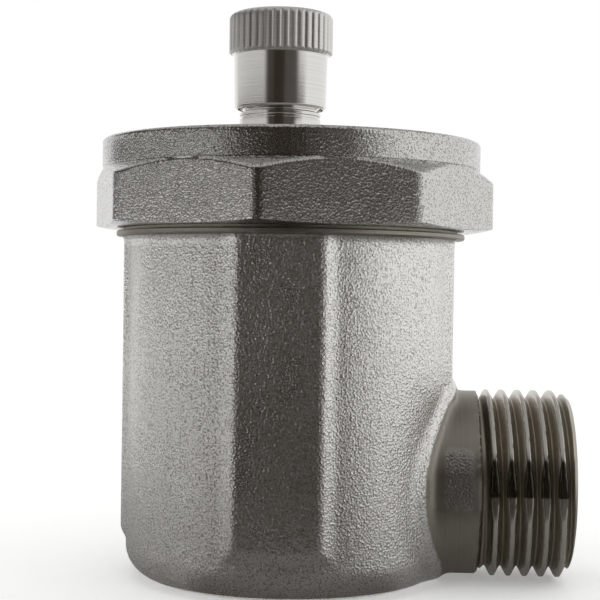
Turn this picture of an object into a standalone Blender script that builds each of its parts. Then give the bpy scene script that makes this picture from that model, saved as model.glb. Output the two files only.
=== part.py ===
"""Automatic air release valve with a side inlet: forged body, octagon cover, float, lever and knurled cap.

Metres, +Z up. The origin is on the body's axis, in the plane of its flat base. The inlet points along +X.
The float has dropped and the vent is open, as in a dry valve on a shelf.
"""

from math import asin, cos, pi, radians, sin, sqrt, tau

import bmesh
import bpy
from mathutils import Matrix

MM = 0.001

# Clearances
SEAT_GAP = 0.3 * MM
THREAD_GAP = 0.15 * MM
RUNNING_GAP = 0.08 * MM
SEAL_GAP = 0.1 * MM
OVERLAP = 0.6 * MM

# Round faces
BODY_STEPS = 60
COVER_STEPS = 64
FLOAT_STEPS = 36
SMALL_STEPS = 32
PIN_STEPS = 24
SEAL_SIDES = 6
FILLET_STEPS = 4

# Forged body
BODY_RADIUS = 18.3 * MM
BODY_WALL = 2.1 * MM
FLOOR_THICKNESS = 2.6 * MM
BASE_FILLET = 3.5 * MM
FLOOR_FILLET = 3.0 * MM
COLLAR_BOTTOM_Z = 38.1 * MM
COLLAR_HEIGHT = 0.6 * MM
COLLAR_SHOULDER = 1.0 * MM
COLLAR_FILLET = 1.0 * MM

# Raised pads of the forging
PAD_COUNT = 4
PAD_PROUD = 0.15 * MM
PAD_WIDTH = 9.5 * MM
PAD_SIDE_RUN = 1.6 * MM
PAD_ROOT_DEPTH = 2.0 * MM
PAD_BOTTOM_Z = 3.6 * MM
PAD_END_RUN = 1.5 * MM
PAD_EDGE = 0.35 * MM

# Neck that the cover screws on
NECK_WALL = 2.55 * MM
NECK_HEIGHT = 7.3 * MM
NECK_CHAMFER = 0.5 * MM
SEAL_WIRE = 1.3 * MM
SEAL_DEPTH_Z = 1.5 * MM

# Side inlet
INLET_GROUND_GAP = 0.5 * MM
INLET_NECK_RADIUS = 10.3 * MM
INLET_THREAD_RADIUS = 10.4775 * MM
INLET_THREAD_START_X = 21.4 * MM
INLET_END_X = 31.7 * MM
INLET_RELIEF_WIDTH = 1.0 * MM
INLET_RELIEF_DEPTH = 1.1 * MM
INLET_CHAMFER = 1.0 * MM
INLET_BORE_RADIUS = 7.5 * MM
INLET_SADDLE_FILLET = 1.4 * MM
INLET_FLAT_CUT = 0.36 * MM
SADDLE_LOWEST_Z = 0.3 * MM
SADDLE_STEPS = 48
BLEND_SINK = 0.06 * MM

# Octagon cover
OCTAGON_WALL = 2.55 * MM
OCTAGON_CORNER_RADIUS = 2.0 * MM
OCTAGON_TURN = -5.5
OCTAGON_TOP_RISE = 5.3 * MM
OCTAGON_LOWER_CHAMFER = 0.4 * MM
OCTAGON_LOWER_INSET = 0.1 * MM
OCTAGON_UPPER_CHAMFER = 1.3 * MM
RING_PROUD = 0.1 * MM
RING_BOTTOM_RISE = 6.8 * MM
COVER_HEIGHT = 10.2 * MM
COVER_PLATE = 2.5 * MM
RING_EDGE = 0.4 * MM

# Vent stem on the cover
STEM_OFFSET_X = -1.4 * MM
STEM_NECK_RADIUS = 4.63 * MM
STEM_NECK_HEIGHT = 3.6 * MM
STEM_THREAD_RADIUS = 4.5 * MM
STEM_HEIGHT = 11.3 * MM
STEM_CHAMFER = 0.5 * MM
STEM_ROOT_FILLET = 0.5 * MM
VENT_BORE_RADIUS = 1.5 * MM
JET_BORE_RADIUS = 3.0 * MM
JET_BORE_DEPTH = 5.6 * MM

# Knurled dust cap
CAP_SKIRT_GAP = 0.3 * MM
CAP_SKIRT_RADIUS = 5.2 * MM
CAP_SKIRT_TOP_RADIUS = 5.32 * MM
CAP_SKIRT_HEIGHT = 6.05 * MM
CAP_KNURL_RADIUS = 5.9 * MM
CAP_KNURL_DEPTH = 0.26 * MM
CAP_KNURL_COUNT = 40
CAP_LOWER_CHAMFER = 0.35 * MM
CAP_TOP_ROUND = 0.8 * MM
CAP_TOP_THICKNESS = 1.65 * MM
CAP_GASKET_THICKNESS = 1.2 * MM

# Jet clamped under the cover
JET_SPIGOT_LENGTH = 4.8 * MM
JET_PIVOT_GAP = 1.6 * MM
JET_FLANGE_THICKNESS = 1.2 * MM
JET_TIP_LENGTH = 2.2 * MM
JET_TIP_RADIUS = 1.3 * MM
JET_ROOT_RADIUS = 2.4 * MM
JET_HOLE_RADIUS = 0.6 * MM
JET_SEAL_WIRE = 0.8 * MM

# Lever bracket
BRACKET_THICKNESS = 1.2 * MM
BRACKET_WIDTH = 9.0 * MM
BRACKET_TAIL = 5.4 * MM
BRACKET_CORNER = 1.5 * MM
CHEEK_THICKNESS = 1.1 * MM
CHEEK_WIDTH = 4.0 * MM
PIVOT_OFFSET = 0.1 * MM
PIVOT_DROP = 5.4 * MM
PIN_RADIUS = 0.6 * MM
PIN_OVERHANG = 0.5 * MM

# Lever
LEVER_EYE_OFFSET = 6.5 * MM
LEVER_TAIL = 4.3 * MM
LEVER_THICKNESS = 2.0 * MM
LEVER_END_WIDTH = 2.2 * MM
LEVER_SIDE_GAP = 0.3 * MM
LEVER_BARREL_RADIUS = 1.7 * MM
LEVER_EYE_RADIUS = 1.0 * MM
LEVER_EYE_WALL = 0.8 * MM
LEVER_EYE_LIP = 0.2 * MM
PAD_POCKET_DEPTH = 0.9 * MM
VALVE_PAD_RADIUS = 1.8 * MM
VALVE_PAD_THICKNESS = 1.4 * MM
VALVE_CLOSED_GAP = 0.1 * MM

# Return spring on the lever's tail
SPRING_RADIUS = 1.3 * MM
SPRING_WIRE = 0.4 * MM
SPRING_TURNS = 4
SPRING_POINTS_PER_TURN = 12

# Float
FLOAT_TRAVEL = 2.6 * MM
FLOAT_SIDE_GAP = 2.0 * MM
FLOAT_BOTTOM_Z = 5.6 * MM
FLOAT_TOP_Z = 29.8 * MM
FLOAT_WALL = 1.2 * MM
FLOAT_EDGE = 2.0 * MM
LID_THICKNESS = 1.4 * MM
LID_SPIGOT = 2.0 * MM
POST_WIDTH = 3.2 * MM
POST_THICKNESS = 2.2 * MM
POST_HEIGHT = 3.1 * MM
POST_EYE_RADIUS = 0.9 * MM
LINK_WIRE = 0.8 * MM
LINK_STANDOFF = 0.6 * MM
LINK_BEND = 0.5 * MM

# Heights and radii that follow
CHAMBER_RADIUS = BODY_RADIUS - BODY_WALL
PAD_REACH = BODY_RADIUS + PAD_PROUD
INLET_AXIS_Z = INLET_NECK_RADIUS + INLET_GROUND_GAP
NECK_RADIUS = CHAMBER_RADIUS + NECK_WALL
COLLAR_RADIUS = NECK_RADIUS + COLLAR_SHOULDER
OCTAGON_ACROSS_FLATS = 2 * (NECK_RADIUS + OCTAGON_WALL)
RING_RADIUS = OCTAGON_ACROSS_FLATS / 2 + RING_PROUD
COLLAR_TOP_Z = COLLAR_BOTTOM_Z + COLLAR_HEIGHT
NECK_TOP_Z = COLLAR_TOP_Z + NECK_HEIGHT
COVER_BOTTOM_Z = COLLAR_TOP_Z + SEAT_GAP
COVER_TOP_Z = COVER_BOTTOM_Z + COVER_HEIGHT - SEAT_GAP
COVER_CEILING_Z = COVER_TOP_Z - COVER_PLATE
STEM_TOP_Z = COVER_TOP_Z + STEM_HEIGHT
CAP_BORE_RADIUS = STEM_THREAD_RADIUS + SEAL_GAP
CAP_BOTTOM_Z = COVER_TOP_Z + STEM_NECK_HEIGHT + CAP_SKIRT_GAP
GASKET_BOTTOM_Z = STEM_TOP_Z + SEAT_GAP
GASKET_TOP_Z = GASKET_BOTTOM_Z + CAP_GASKET_THICKNESS
CAP_CEILING_Z = GASKET_TOP_Z + SEAT_GAP
CAP_TOP_Z = CAP_CEILING_Z + CAP_TOP_THICKNESS
KNURL_BOTTOM_Z = CAP_BOTTOM_Z + CAP_SKIRT_HEIGHT + CAP_LOWER_CHAMFER
BRACKET_TOP_Z = COVER_CEILING_Z - SEAT_GAP
BRACKET_BOTTOM_Z = BRACKET_TOP_Z - BRACKET_THICKNESS
FLANGE_TOP_Z = BRACKET_BOTTOM_Z - SEAT_GAP
FLANGE_BOTTOM_Z = FLANGE_TOP_Z - JET_FLANGE_THICKNESS
JET_TIP_Z = FLANGE_BOTTOM_Z - JET_TIP_LENGTH
JET_SPIGOT_RADIUS = JET_BORE_RADIUS - THREAD_GAP
PIVOT_X = PIVOT_OFFSET - CHAMBER_RADIUS / 2
JET_FLANGE_RADIUS = STEM_OFFSET_X - PIVOT_X - JET_PIVOT_GAP
BRACKET_LEFT_X = PIVOT_X - BRACKET_TAIL
BRACKET_RIGHT_X = STEM_OFFSET_X + JET_FLANGE_RADIUS
PIVOT_Z = BRACKET_BOTTOM_Z - PIVOT_DROP
LEVER_ARM = LEVER_EYE_OFFSET - PIVOT_X
CHEEK_INNER_Y = BRACKET_WIDTH / 2 - CHEEK_THICKNESS
LEVER_HALF_WIDTH = CHEEK_INNER_Y - LEVER_SIDE_GAP
PAD_ARM = STEM_OFFSET_X - PIVOT_X
PAD_TOP_RISE = JET_TIP_Z - VALVE_CLOSED_GAP - PIVOT_Z
PAD_POCKET_FLOOR = PAD_TOP_RISE - VALVE_PAD_THICKNESS
LEVER_TOP_RISE = PAD_POCKET_FLOOR - SEAL_GAP + PAD_POCKET_DEPTH
OPEN_ANGLE = asin(FLOAT_TRAVEL / LEVER_ARM)
EYE_X = PIVOT_X + LEVER_ARM * cos(OPEN_ANGLE)
EYE_Z = PIVOT_Z - FLOAT_TRAVEL
LINK_TOP_Z = EYE_Z - (LEVER_EYE_RADIUS - LINK_WIRE / 2 - SEAT_GAP)
FLOAT_RADIUS = CHAMBER_RADIUS - FLOAT_SIDE_GAP
LID_BOTTOM_Z = FLOAT_TOP_Z + SEAT_GAP
LID_TOP_Z = LID_BOTTOM_Z + LID_THICKNESS
POST_EYE_Z = LID_TOP_Z + POST_HEIGHT - POST_EYE_RADIUS - LEVER_EYE_WALL
LINK_BOTTOM_Z = POST_EYE_Z + (POST_EYE_RADIUS - LINK_WIRE / 2 - SEAT_GAP)

PARTS_NAME = "air_release_valve"
CUTTERS_NAME = "construction_shapes"


# Scene and materials


def clear_scene():
    """Removes every object, so that the script can be run again."""
    for obj in list(bpy.data.objects):
        bpy.data.objects.remove(obj, do_unlink=True)


def new_collection(name):
    """Makes a collection of the scene."""
    group = bpy.data.collections.new(name)
    bpy.context.scene.collection.children.link(group)
    return group


def make_material(name, color, roughness, metallic):
    """Makes a Principled material of one plain finish."""
    material = bpy.data.materials.new(name)
    material.use_nodes = True
    shader = material.node_tree.nodes["Principled BSDF"]
    shader.inputs["Base Color"].default_value = (*color, 1.0)
    shader.inputs["Roughness"].default_value = roughness
    shader.inputs["Metallic"].default_value = metallic
    material.diffuse_color = (*color, 1.0)
    return material


# Shape helpers


def place_mesh(name, mesh, group, location=(0, 0, 0), rotation=(0, 0, 0)):
    """Puts a mesh in the scene as an object of one collection."""
    obj = bpy.data.objects.new(name, mesh)
    obj.location = location
    obj.rotation_euler = rotation
    group.objects.link(obj)
    return obj


def arc(center, radius, start, end, steps=FILLET_STEPS):
    """Points of an arc about a center, from one angle to another in degrees, both ends included."""
    angles = [radians(start + (end - start) * i / steps) for i in range(steps + 1)]
    return [(center[0] + radius * cos(a), center[1] + radius * sin(a)) for a in angles]


def turned(name, profile, steps, group, closed=True, **place):
    """Turns a profile of (radius, height) points about Z. It runs down the outer side and up any bore."""
    mesh = bpy.data.meshes.new(name)
    last = len(profile) if closed else len(profile) - 1
    edges = [(i, (i + 1) % len(profile)) for i in range(last)]
    mesh.from_pydata([(r, 0, z) for r, z in profile], edges, [])
    obj = place_mesh(name, mesh, group, **place)
    screw = obj.modifiers.new("turn", "SCREW")
    screw.steps = screw.render_steps = steps
    screw.use_merge_vertices = True
    screw.merge_threshold = 1e-6
    screw.use_smooth_shade = True
    return obj


def solid_turned(name, profile, steps, group, **place):
    """Turns a profile whose first and last points are on the axis. A cup's starts on its inner floor."""
    return turned(name, profile, steps, group, closed=False, **place)


def rod(name, radius, bottom, top, group, steps=SMALL_STEPS, **place):
    """Makes a plain cylinder along its own Z."""
    return solid_turned(name, [(0, top), (radius, top), (radius, bottom), (0, bottom)], steps, group, **place)


def to_mesh(curve_obj, group):
    """Turns a curve object into a closed mesh object of the same name and place."""
    name = curve_obj.name
    evaluated = curve_obj.evaluated_get(bpy.context.evaluated_depsgraph_get())
    mesh = bpy.data.meshes.new_from_object(evaluated)
    matrix = curve_obj.matrix_world.copy()
    bpy.data.objects.remove(curve_obj, do_unlink=True)
    build = bmesh.new()
    build.from_mesh(mesh)
    bmesh.ops.remove_doubles(build, verts=build.verts, dist=1e-6)
    build.to_mesh(mesh)
    build.free()
    obj = place_mesh(name, mesh, group)
    obj.name = name
    obj.matrix_world = matrix
    return obj


def extruded(name, outline, bottom, top, group, rotation=(0, 0, 0), location=(0, 0, 0)):
    """Extrudes a closed flat outline along its own Z, from bottom to top."""
    curve = bpy.data.curves.new(name, "CURVE")
    curve.dimensions = "2D"
    curve.fill_mode = "BOTH"
    curve.extrude = (top - bottom) / 2
    spline = curve.splines.new("POLY")
    spline.points.add(len(outline) - 1)
    for point, (x, y) in zip(spline.points, outline):
        point.co = (x, y, 0, 1)
    spline.use_cyclic_u = True
    obj = bpy.data.objects.new(name, curve)
    group.objects.link(obj)
    turn = Matrix.Translation(location) @ rotation_matrix(rotation)
    obj.matrix_world = turn @ Matrix.Translation((0, 0, (top + bottom) / 2))
    bpy.context.view_layer.update()
    return to_mesh(obj, group)


def rotation_matrix(angles):
    """Matrix of three turns about X, then Y, then Z."""
    about_x, about_y, about_z = (Matrix.Rotation(a, 4, axis) for a, axis in zip(angles, "XYZ"))
    return about_z @ about_y @ about_x


def wire(name, points, thickness, group, **place):
    """Makes a round wire through points, with closed ends."""
    curve = bpy.data.curves.new(name, "CURVE")
    curve.dimensions = "3D"
    curve.bevel_depth = thickness / 2
    curve.bevel_resolution = 2
    curve.use_fill_caps = True
    spline = curve.splines.new("POLY")
    spline.points.add(len(points) - 1)
    for point, co in zip(spline.points, points):
        point.co = (*co, 1)
    obj = bpy.data.objects.new(name, curve)
    obj.location = place.get("location", (0, 0, 0))
    group.objects.link(obj)
    return obj


def torus(name, major_radius, wire_radius, steps, group, location):
    """Makes a seal ring by turning its round section."""
    section = arc((major_radius, 0), wire_radius, 90, -270, SEAL_SIDES)[:-1]
    return turned(name, section, steps, group, location=location)


def rounded_rectangle(left, right, half_width, corner):
    """Outline of a rectangle with round corners, counterclockwise."""
    centers = [
        (right - corner, half_width - corner, 0),
        (left + corner, half_width - corner, 90),
        (left + corner, corner - half_width, 180),
        (right - corner, corner - half_width, 270),
    ]
    return [point for x, y, start in centers for point in arc((x, y), corner, start, start + 90, 3)]


def combine(obj, tools, operation):
    """Adds one Boolean for each tool, and hides the tool."""
    for tool in tools:
        tool.hide_render = True
        tool.display_type = "WIRE"
        boolean = obj.modifiers.new(tool.name, "BOOLEAN")
        boolean.operation = operation
        boolean.solver = "EXACT"
        boolean.object = tool


def finish_part(obj, material, smooth_angle=35):
    """Gives a piece its material and its shading."""
    obj.data.materials.clear()
    obj.data.materials.append(material)
    if obj.type == "MESH":
        obj.data.shade_smooth()
        obj.data.set_sharp_from_angle(angle=radians(smooth_angle))
    return obj


# Body


def body_profile():
    """Outer wall of the body, from the neck down to the flat base."""
    collar_root = arc(
        (BODY_RADIUS + COLLAR_FILLET, COLLAR_BOTTOM_Z - COLLAR_FILLET), COLLAR_FILLET, 90, 180
    )
    base = arc((BODY_RADIUS - BASE_FILLET, BASE_FILLET), BASE_FILLET, 0, -90, 6)
    groove_radius = NECK_RADIUS + THREAD_GAP - SEAL_GAP - SEAL_WIRE
    seal_z = NECK_TOP_Z - SEAL_DEPTH_Z
    groove_half = SEAL_WIRE / 2 + SEAL_GAP
    return [
        (0, NECK_TOP_Z),
        (NECK_RADIUS - NECK_CHAMFER, NECK_TOP_Z),
        (NECK_RADIUS, NECK_TOP_Z - NECK_CHAMFER),
        (NECK_RADIUS, seal_z + groove_half),
        (groove_radius, seal_z + groove_half),
        (groove_radius, seal_z - groove_half),
        (NECK_RADIUS, seal_z - groove_half),
        (NECK_RADIUS, COLLAR_TOP_Z),
        (COLLAR_RADIUS, COLLAR_TOP_Z),
        (COLLAR_RADIUS, COLLAR_BOTTOM_Z),
        *collar_root,
        *base,
        (0, 0),
    ]


def chamber_profile():
    """Float chamber, from above the mouth down to the middle of its floor."""
    floor_corner = (CHAMBER_RADIUS - FLOOR_FILLET, FLOOR_THICKNESS + FLOOR_FILLET)
    return [
        (0, NECK_TOP_Z + MM),
        (CHAMBER_RADIUS, NECK_TOP_Z + MM),
        *arc(floor_corner, FLOOR_FILLET, 0, -90),
        (0, FLOOR_THICKNESS),
    ]


def body_reach(y, z):
    """How far the outer wall reaches towards the inlet, at a place across and up."""
    below = max(0.0, BASE_FILLET - max(z, 0.0))
    radius = BODY_RADIUS - BASE_FILLET + sqrt(BASE_FILLET**2 - below**2)
    return sqrt(max(radius**2 - y**2, 0.0))


def pad_block(index, group):
    """One raised pad: a block with sloped sides and a sloped lower end, turned to its quarter."""
    build = bmesh.new()
    bmesh.ops.create_cube(build, size=2)
    for vert in build.verts:
        outer = vert.co.x > 0
        half_width = PAD_WIDTH / 2 + (0 if outer else PAD_SIDE_RUN)
        bottom = PAD_BOTTOM_Z + (PAD_END_RUN if outer else 0)
        vert.co.x = PAD_REACH - (0 if outer else PAD_ROOT_DEPTH)
        vert.co.y *= half_width
        vert.co.z = COLLAR_BOTTOM_Z + COLLAR_HEIGHT / 2 if vert.co.z > 0 else bottom
    rim = [edge for edge in build.edges if all(v.co.x > PAD_REACH - MM / 10 for v in edge.verts)]
    bmesh.ops.bevel(build, geom=rim, offset=PAD_EDGE, segments=2, profile=0.5, affect="EDGES")
    mesh = bpy.data.meshes.new(f"pad_{index}")
    build.to_mesh(mesh)
    build.free()
    return place_mesh(mesh.name, mesh, group, rotation=(0, 0, tau * index / PAD_COUNT))


def inlet_profile():
    """Spigot along its own Z: threaded end, relief, neck, and a root that reaches into the chamber."""
    relief = INLET_THREAD_RADIUS - INLET_RELIEF_DEPTH
    root = sqrt(CHAMBER_RADIUS**2 - INLET_NECK_RADIUS**2) - OVERLAP
    return [
        (0, INLET_END_X),
        (INLET_THREAD_RADIUS - INLET_CHAMFER, INLET_END_X),
        (INLET_THREAD_RADIUS, INLET_END_X - INLET_CHAMFER),
        (INLET_THREAD_RADIUS, INLET_THREAD_START_X + INLET_RELIEF_WIDTH),
        (relief, INLET_THREAD_START_X + INLET_RELIEF_WIDTH / 2),
        (relief, INLET_THREAD_START_X),
        (INLET_NECK_RADIUS, INLET_THREAD_START_X),
        (INLET_NECK_RADIUS, root),
        (0, root),
    ]


def saddle_section(across, up):
    """Fillet between body and inlet in the half plane through the inlet's axis, as points in space."""
    sink = OVERLAP / 2
    foot = INLET_NECK_RADIUS + INLET_SADDLE_FILLET
    top = INLET_NECK_RADIUS - BLEND_SINK

    def reach(radius):
        return body_reach(radius * across, INLET_AXIS_Z + radius * up)

    low, high = reach(foot) - BLEND_SINK, reach(INLET_NECK_RADIUS) + INLET_SADDLE_FILLET
    section = [(foot, low - sink)]
    for step in range(FILLET_STEPS + 1):
        turn = pi / 2 * step / FILLET_STEPS
        section.append((foot + (top - foot) * sin(turn), low + (high - low) * (1 - cos(turn))))
    section += [(top - sink, high), (top - sink, low - sink)]
    floor = SADDLE_LOWEST_Z
    return [(x, r * across, max(INLET_AXIS_Z + r * up, floor)) for r, x in section]


def saddle_fillet(group):
    """Blend of the round inlet into the round body: sections lofted round the saddle line."""
    build = bmesh.new()
    rings = []
    for step in range(SADDLE_STEPS):
        angle = tau * (step + 0.5) / SADDLE_STEPS
        rings.append([build.verts.new(point) for point in saddle_section(cos(angle), sin(angle))])
    for here, there in zip(rings, [*rings[1:], rings[0]]):
        for k, corner in enumerate(here):
            n = (k + 1) % len(here)
            build.faces.new((corner, here[n], there[n], there[k]))
    bmesh.ops.recalc_face_normals(build, faces=build.faces)
    mesh = bpy.data.meshes.new("saddle_blend")
    build.to_mesh(mesh)
    build.free()
    return place_mesh(mesh.name, mesh, group)


def forging_flat(side, group):
    """Cutter for the flat that the forging leaves along one side of the inlet."""
    reach = INLET_THREAD_RADIUS - INLET_FLAT_CUT
    near, far = sorted((side * reach, side * (reach + INLET_THREAD_RADIUS)))
    outline = [
        (BODY_RADIUS + INLET_SADDLE_FILLET, near),
        (INLET_END_X + MM, near),
        (INLET_END_X + MM, far),
        (BODY_RADIUS + INLET_SADDLE_FILLET, far),
    ]
    half_height = INLET_THREAD_RADIUS / 2
    return extruded(
        "inlet_flat", outline, -half_height, half_height, group, location=(0, 0, INLET_AXIS_Z)
    )


def make_body(parts, cutters, material):
    """Forged body with its four pads, turned collar, neck and side inlet."""
    body = solid_turned("body", body_profile(), BODY_STEPS, parts)
    along_x = {"location": (0, 0, INLET_AXIS_Z), "rotation": (0, pi / 2, 0)}
    inlet = solid_turned("inlet_spigot", inlet_profile(), BODY_STEPS, cutters, **along_x)
    chamber = solid_turned("float_chamber", chamber_profile(), BODY_STEPS, cutters)
    bore = rod("inlet_bore", INLET_BORE_RADIUS, 0, INLET_END_X + MM, cutters, **along_x)
    pads = [pad_block(i, cutters) for i in range(PAD_COUNT)]
    flats = [forging_flat(side, cutters) for side in (-1, 1)]
    combine(inlet, flats, "DIFFERENCE")
    combine(body, [*pads, inlet, saddle_fillet(cutters)], "UNION")
    combine(body, [chamber, bore], "DIFFERENCE")
    return finish_part(body, material)


def make_cover_seal(parts, material):
    """Seal ring in the groove of the neck."""
    major = NECK_RADIUS + THREAD_GAP - SEAL_GAP - SEAL_WIRE / 2
    place = (0, 0, NECK_TOP_Z - SEAL_DEPTH_Z)
    seal = torus("cover_seal", major, (SEAL_WIRE - SEAL_GAP) / 2, BODY_STEPS, parts, place)
    return finish_part(seal, material)


# Cover


def octagon_outline():
    """Octagon with round corners, turned so that the corners stand as on the real cover."""
    sharp = OCTAGON_ACROSS_FLATS / 2 / cos(pi / 8)
    center = sharp - OCTAGON_CORNER_RADIUS / cos(pi / 8)
    points = []
    for i in range(8):
        angle = OCTAGON_TURN + 45 * i
        middle = (center * cos(radians(angle)), center * sin(radians(angle)))
        points += arc(middle, OCTAGON_CORNER_RADIUS, angle - 22.5, angle + 22.5, 3)
    return points


def cover_envelope():
    """Turned shape that chamfers the corners of the octagon below and above."""
    tip = OCTAGON_ACROSS_FLATS / 2 / cos(pi / 8)
    top = COVER_BOTTOM_Z + RING_BOTTOM_RISE + OVERLAP
    chamfer_top = COVER_BOTTOM_Z + OCTAGON_TOP_RISE + OCTAGON_UPPER_CHAMFER
    return [
        (0, top),
        (RING_RADIUS - OVERLAP, top),
        (RING_RADIUS - OVERLAP, chamfer_top),
        (RING_RADIUS, chamfer_top),
        (tip, COVER_BOTTOM_Z + OCTAGON_TOP_RISE),
        (tip, COVER_BOTTOM_Z + OCTAGON_LOWER_CHAMFER),
        (OCTAGON_ACROSS_FLATS / 2 - OCTAGON_LOWER_INSET, COVER_BOTTOM_Z),
        (0, COVER_BOTTOM_Z),
    ]


def stem_profile():
    """Vent stem: thread, neck and root fillet, ending inside the cover's plate."""
    neck_top = COVER_TOP_Z + STEM_NECK_HEIGHT
    step = STEM_NECK_RADIUS - STEM_THREAD_RADIUS
    foot = arc(
        (STEM_NECK_RADIUS + STEM_ROOT_FILLET, COVER_TOP_Z + STEM_ROOT_FILLET), STEM_ROOT_FILLET, 180, 270
    )
    return [
        (0, STEM_TOP_Z),
        (STEM_THREAD_RADIUS - STEM_CHAMFER, STEM_TOP_Z),
        (STEM_THREAD_RADIUS, STEM_TOP_Z - STEM_CHAMFER),
        (STEM_THREAD_RADIUS, neck_top),
        (STEM_NECK_RADIUS, neck_top - step),
        *foot,
        (STEM_NECK_RADIUS + STEM_ROOT_FILLET, COVER_TOP_Z - OVERLAP),
        (0, COVER_TOP_Z - OVERLAP),
    ]


def make_cover(parts, cutters, material):
    """Octagon cover with its turned ring and off-center vent stem."""
    ring_bottom = COVER_BOTTOM_Z + RING_BOTTOM_RISE
    ring = [
        (0, COVER_TOP_Z),
        (RING_RADIUS - RING_EDGE, COVER_TOP_Z),
        (RING_RADIUS, COVER_TOP_Z - RING_EDGE),
        (RING_RADIUS, ring_bottom + RING_EDGE / 2),
        (RING_RADIUS - RING_EDGE / 2, ring_bottom),
        (0, ring_bottom),
    ]
    cover = solid_turned("cover", ring, COVER_STEPS, parts)
    octagon = extruded(
        "octagon", octagon_outline(), COVER_BOTTOM_Z - MM, ring_bottom + 2 * OVERLAP, cutters
    )
    envelope = solid_turned("octagon_envelope", cover_envelope(), COVER_STEPS, cutters)
    combine(octagon, [envelope], "INTERSECT")
    on_axis = {"location": (STEM_OFFSET_X, 0, 0)}
    stem = solid_turned("vent_stem", stem_profile(), SMALL_STEPS, cutters, **on_axis)
    cavity = rod(
        "cover_cavity", NECK_RADIUS + THREAD_GAP, COVER_BOTTOM_Z - MM, COVER_CEILING_Z, cutters, COVER_STEPS
    )
    vent_ends = (COVER_CEILING_Z - MM, STEM_TOP_Z + MM)
    vent = rod("vent_bore", VENT_BORE_RADIUS, *vent_ends, cutters, PIN_STEPS, **on_axis)
    socket_top = COVER_CEILING_Z + JET_BORE_DEPTH
    socket = rod("jet_socket", JET_BORE_RADIUS, COVER_CEILING_Z - MM, socket_top, cutters, **on_axis)
    combine(cover, [octagon, stem], "UNION")
    combine(cover, [cavity, vent, socket], "DIFFERENCE")
    return finish_part(cover, material)


# Dust cap


def knurl_outline():
    """Toothed outline of the straight knurl: rounded ribs with a narrow flute between each two."""
    points = []
    pitch = tau / CAP_KNURL_COUNT
    for i in range(CAP_KNURL_COUNT):
        for share, depth in ((-0.5, CAP_KNURL_DEPTH), (-0.25, 0.0), (0.25, 0.0)):
            angle = pitch * (i + share)
            radius = CAP_KNURL_RADIUS - depth
            points.append((radius * cos(angle), radius * sin(angle)))
    return points


def knurl_envelope():
    """Turned shape that rounds the top of the knurl and chamfers its lower end."""
    rounding = arc(
        (CAP_KNURL_RADIUS - CAP_TOP_ROUND, CAP_TOP_Z - CAP_TOP_ROUND), CAP_TOP_ROUND, 90, 0
    )
    outer = CAP_KNURL_RADIUS + MM
    slope = CAP_LOWER_CHAMFER / (CAP_KNURL_RADIUS - CAP_SKIRT_TOP_RADIUS)
    cone_end = KNURL_BOTTOM_Z - CAP_LOWER_CHAMFER - OVERLAP * slope
    return [
        (0, CAP_TOP_Z),
        *rounding[:-1],
        (CAP_KNURL_RADIUS, CAP_TOP_Z - CAP_TOP_ROUND),
        (outer, CAP_TOP_Z - CAP_TOP_ROUND),
        (outer, KNURL_BOTTOM_Z),
        (CAP_KNURL_RADIUS, KNURL_BOTTOM_Z),
        (CAP_SKIRT_TOP_RADIUS - OVERLAP, cone_end),
        (0, cone_end),
    ]


def make_dust_cap(parts, cutters, carrier, material):
    """Knurled cap with its plain skirt, bored from below."""
    chamfer = 0.3 * MM
    skirt_profile = [
        (0, KNURL_BOTTOM_Z),
        (CAP_SKIRT_TOP_RADIUS, KNURL_BOTTOM_Z),
        (CAP_SKIRT_RADIUS, CAP_BOTTOM_Z + chamfer),
        (CAP_SKIRT_RADIUS - chamfer / 2, CAP_BOTTOM_Z),
        (0, CAP_BOTTOM_Z),
    ]
    cap = solid_turned("dust_cap", skirt_profile, SMALL_STEPS, parts)
    knurl = extruded(
        "knurl", knurl_outline(), CAP_BOTTOM_Z + MM, CAP_TOP_Z + MM, cutters
    )
    envelope = solid_turned("knurl_envelope", knurl_envelope(), SMALL_STEPS, cutters)
    combine(knurl, [envelope], "INTERSECT")
    bore = rod("cap_bore", CAP_BORE_RADIUS, CAP_BOTTOM_Z - MM, CAP_CEILING_Z, cutters)
    combine(cap, [knurl], "UNION")
    combine(cap, [bore], "DIFFERENCE")
    for obj in (cap, knurl, envelope, bore):
        obj.parent = carrier
    return finish_part(cap, material)


def make_cap_gasket(parts, carrier, material):
    """Soft disc under the ceiling of the cap."""
    radius = CAP_BORE_RADIUS - SEAT_GAP
    gasket = rod("cap_gasket", radius, GASKET_BOTTOM_Z, GASKET_TOP_Z, parts)
    gasket.parent = carrier
    return finish_part(gasket, material)


# Jet


def make_jet(parts, material):
    """Turned jet: grooved spigot, clamping flange and conical nozzle with a through hole."""
    top = COVER_CEILING_Z + JET_SPIGOT_LENGTH
    seal_z = COVER_CEILING_Z + JET_SPIGOT_LENGTH / 2
    groove = JET_SPIGOT_RADIUS - JET_SEAL_WIRE + THREAD_GAP - SEAL_GAP
    half = JET_SEAL_WIRE / 2 + SEAL_GAP
    profile = [
        (JET_HOLE_RADIUS, top),
        (JET_SPIGOT_RADIUS, top),
        (JET_SPIGOT_RADIUS, seal_z + half),
        (groove, seal_z + half),
        (groove, seal_z - half),
        (JET_SPIGOT_RADIUS, seal_z - half),
        (JET_SPIGOT_RADIUS, FLANGE_TOP_Z),
        (JET_FLANGE_RADIUS, FLANGE_TOP_Z),
        (JET_FLANGE_RADIUS, FLANGE_BOTTOM_Z),
        (JET_ROOT_RADIUS, FLANGE_BOTTOM_Z),
        (JET_TIP_RADIUS, JET_TIP_Z),
        (JET_HOLE_RADIUS, JET_TIP_Z),
    ]
    jet = turned("jet", profile, SMALL_STEPS, parts, location=(STEM_OFFSET_X, 0, 0))
    return finish_part(jet, material)


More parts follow.
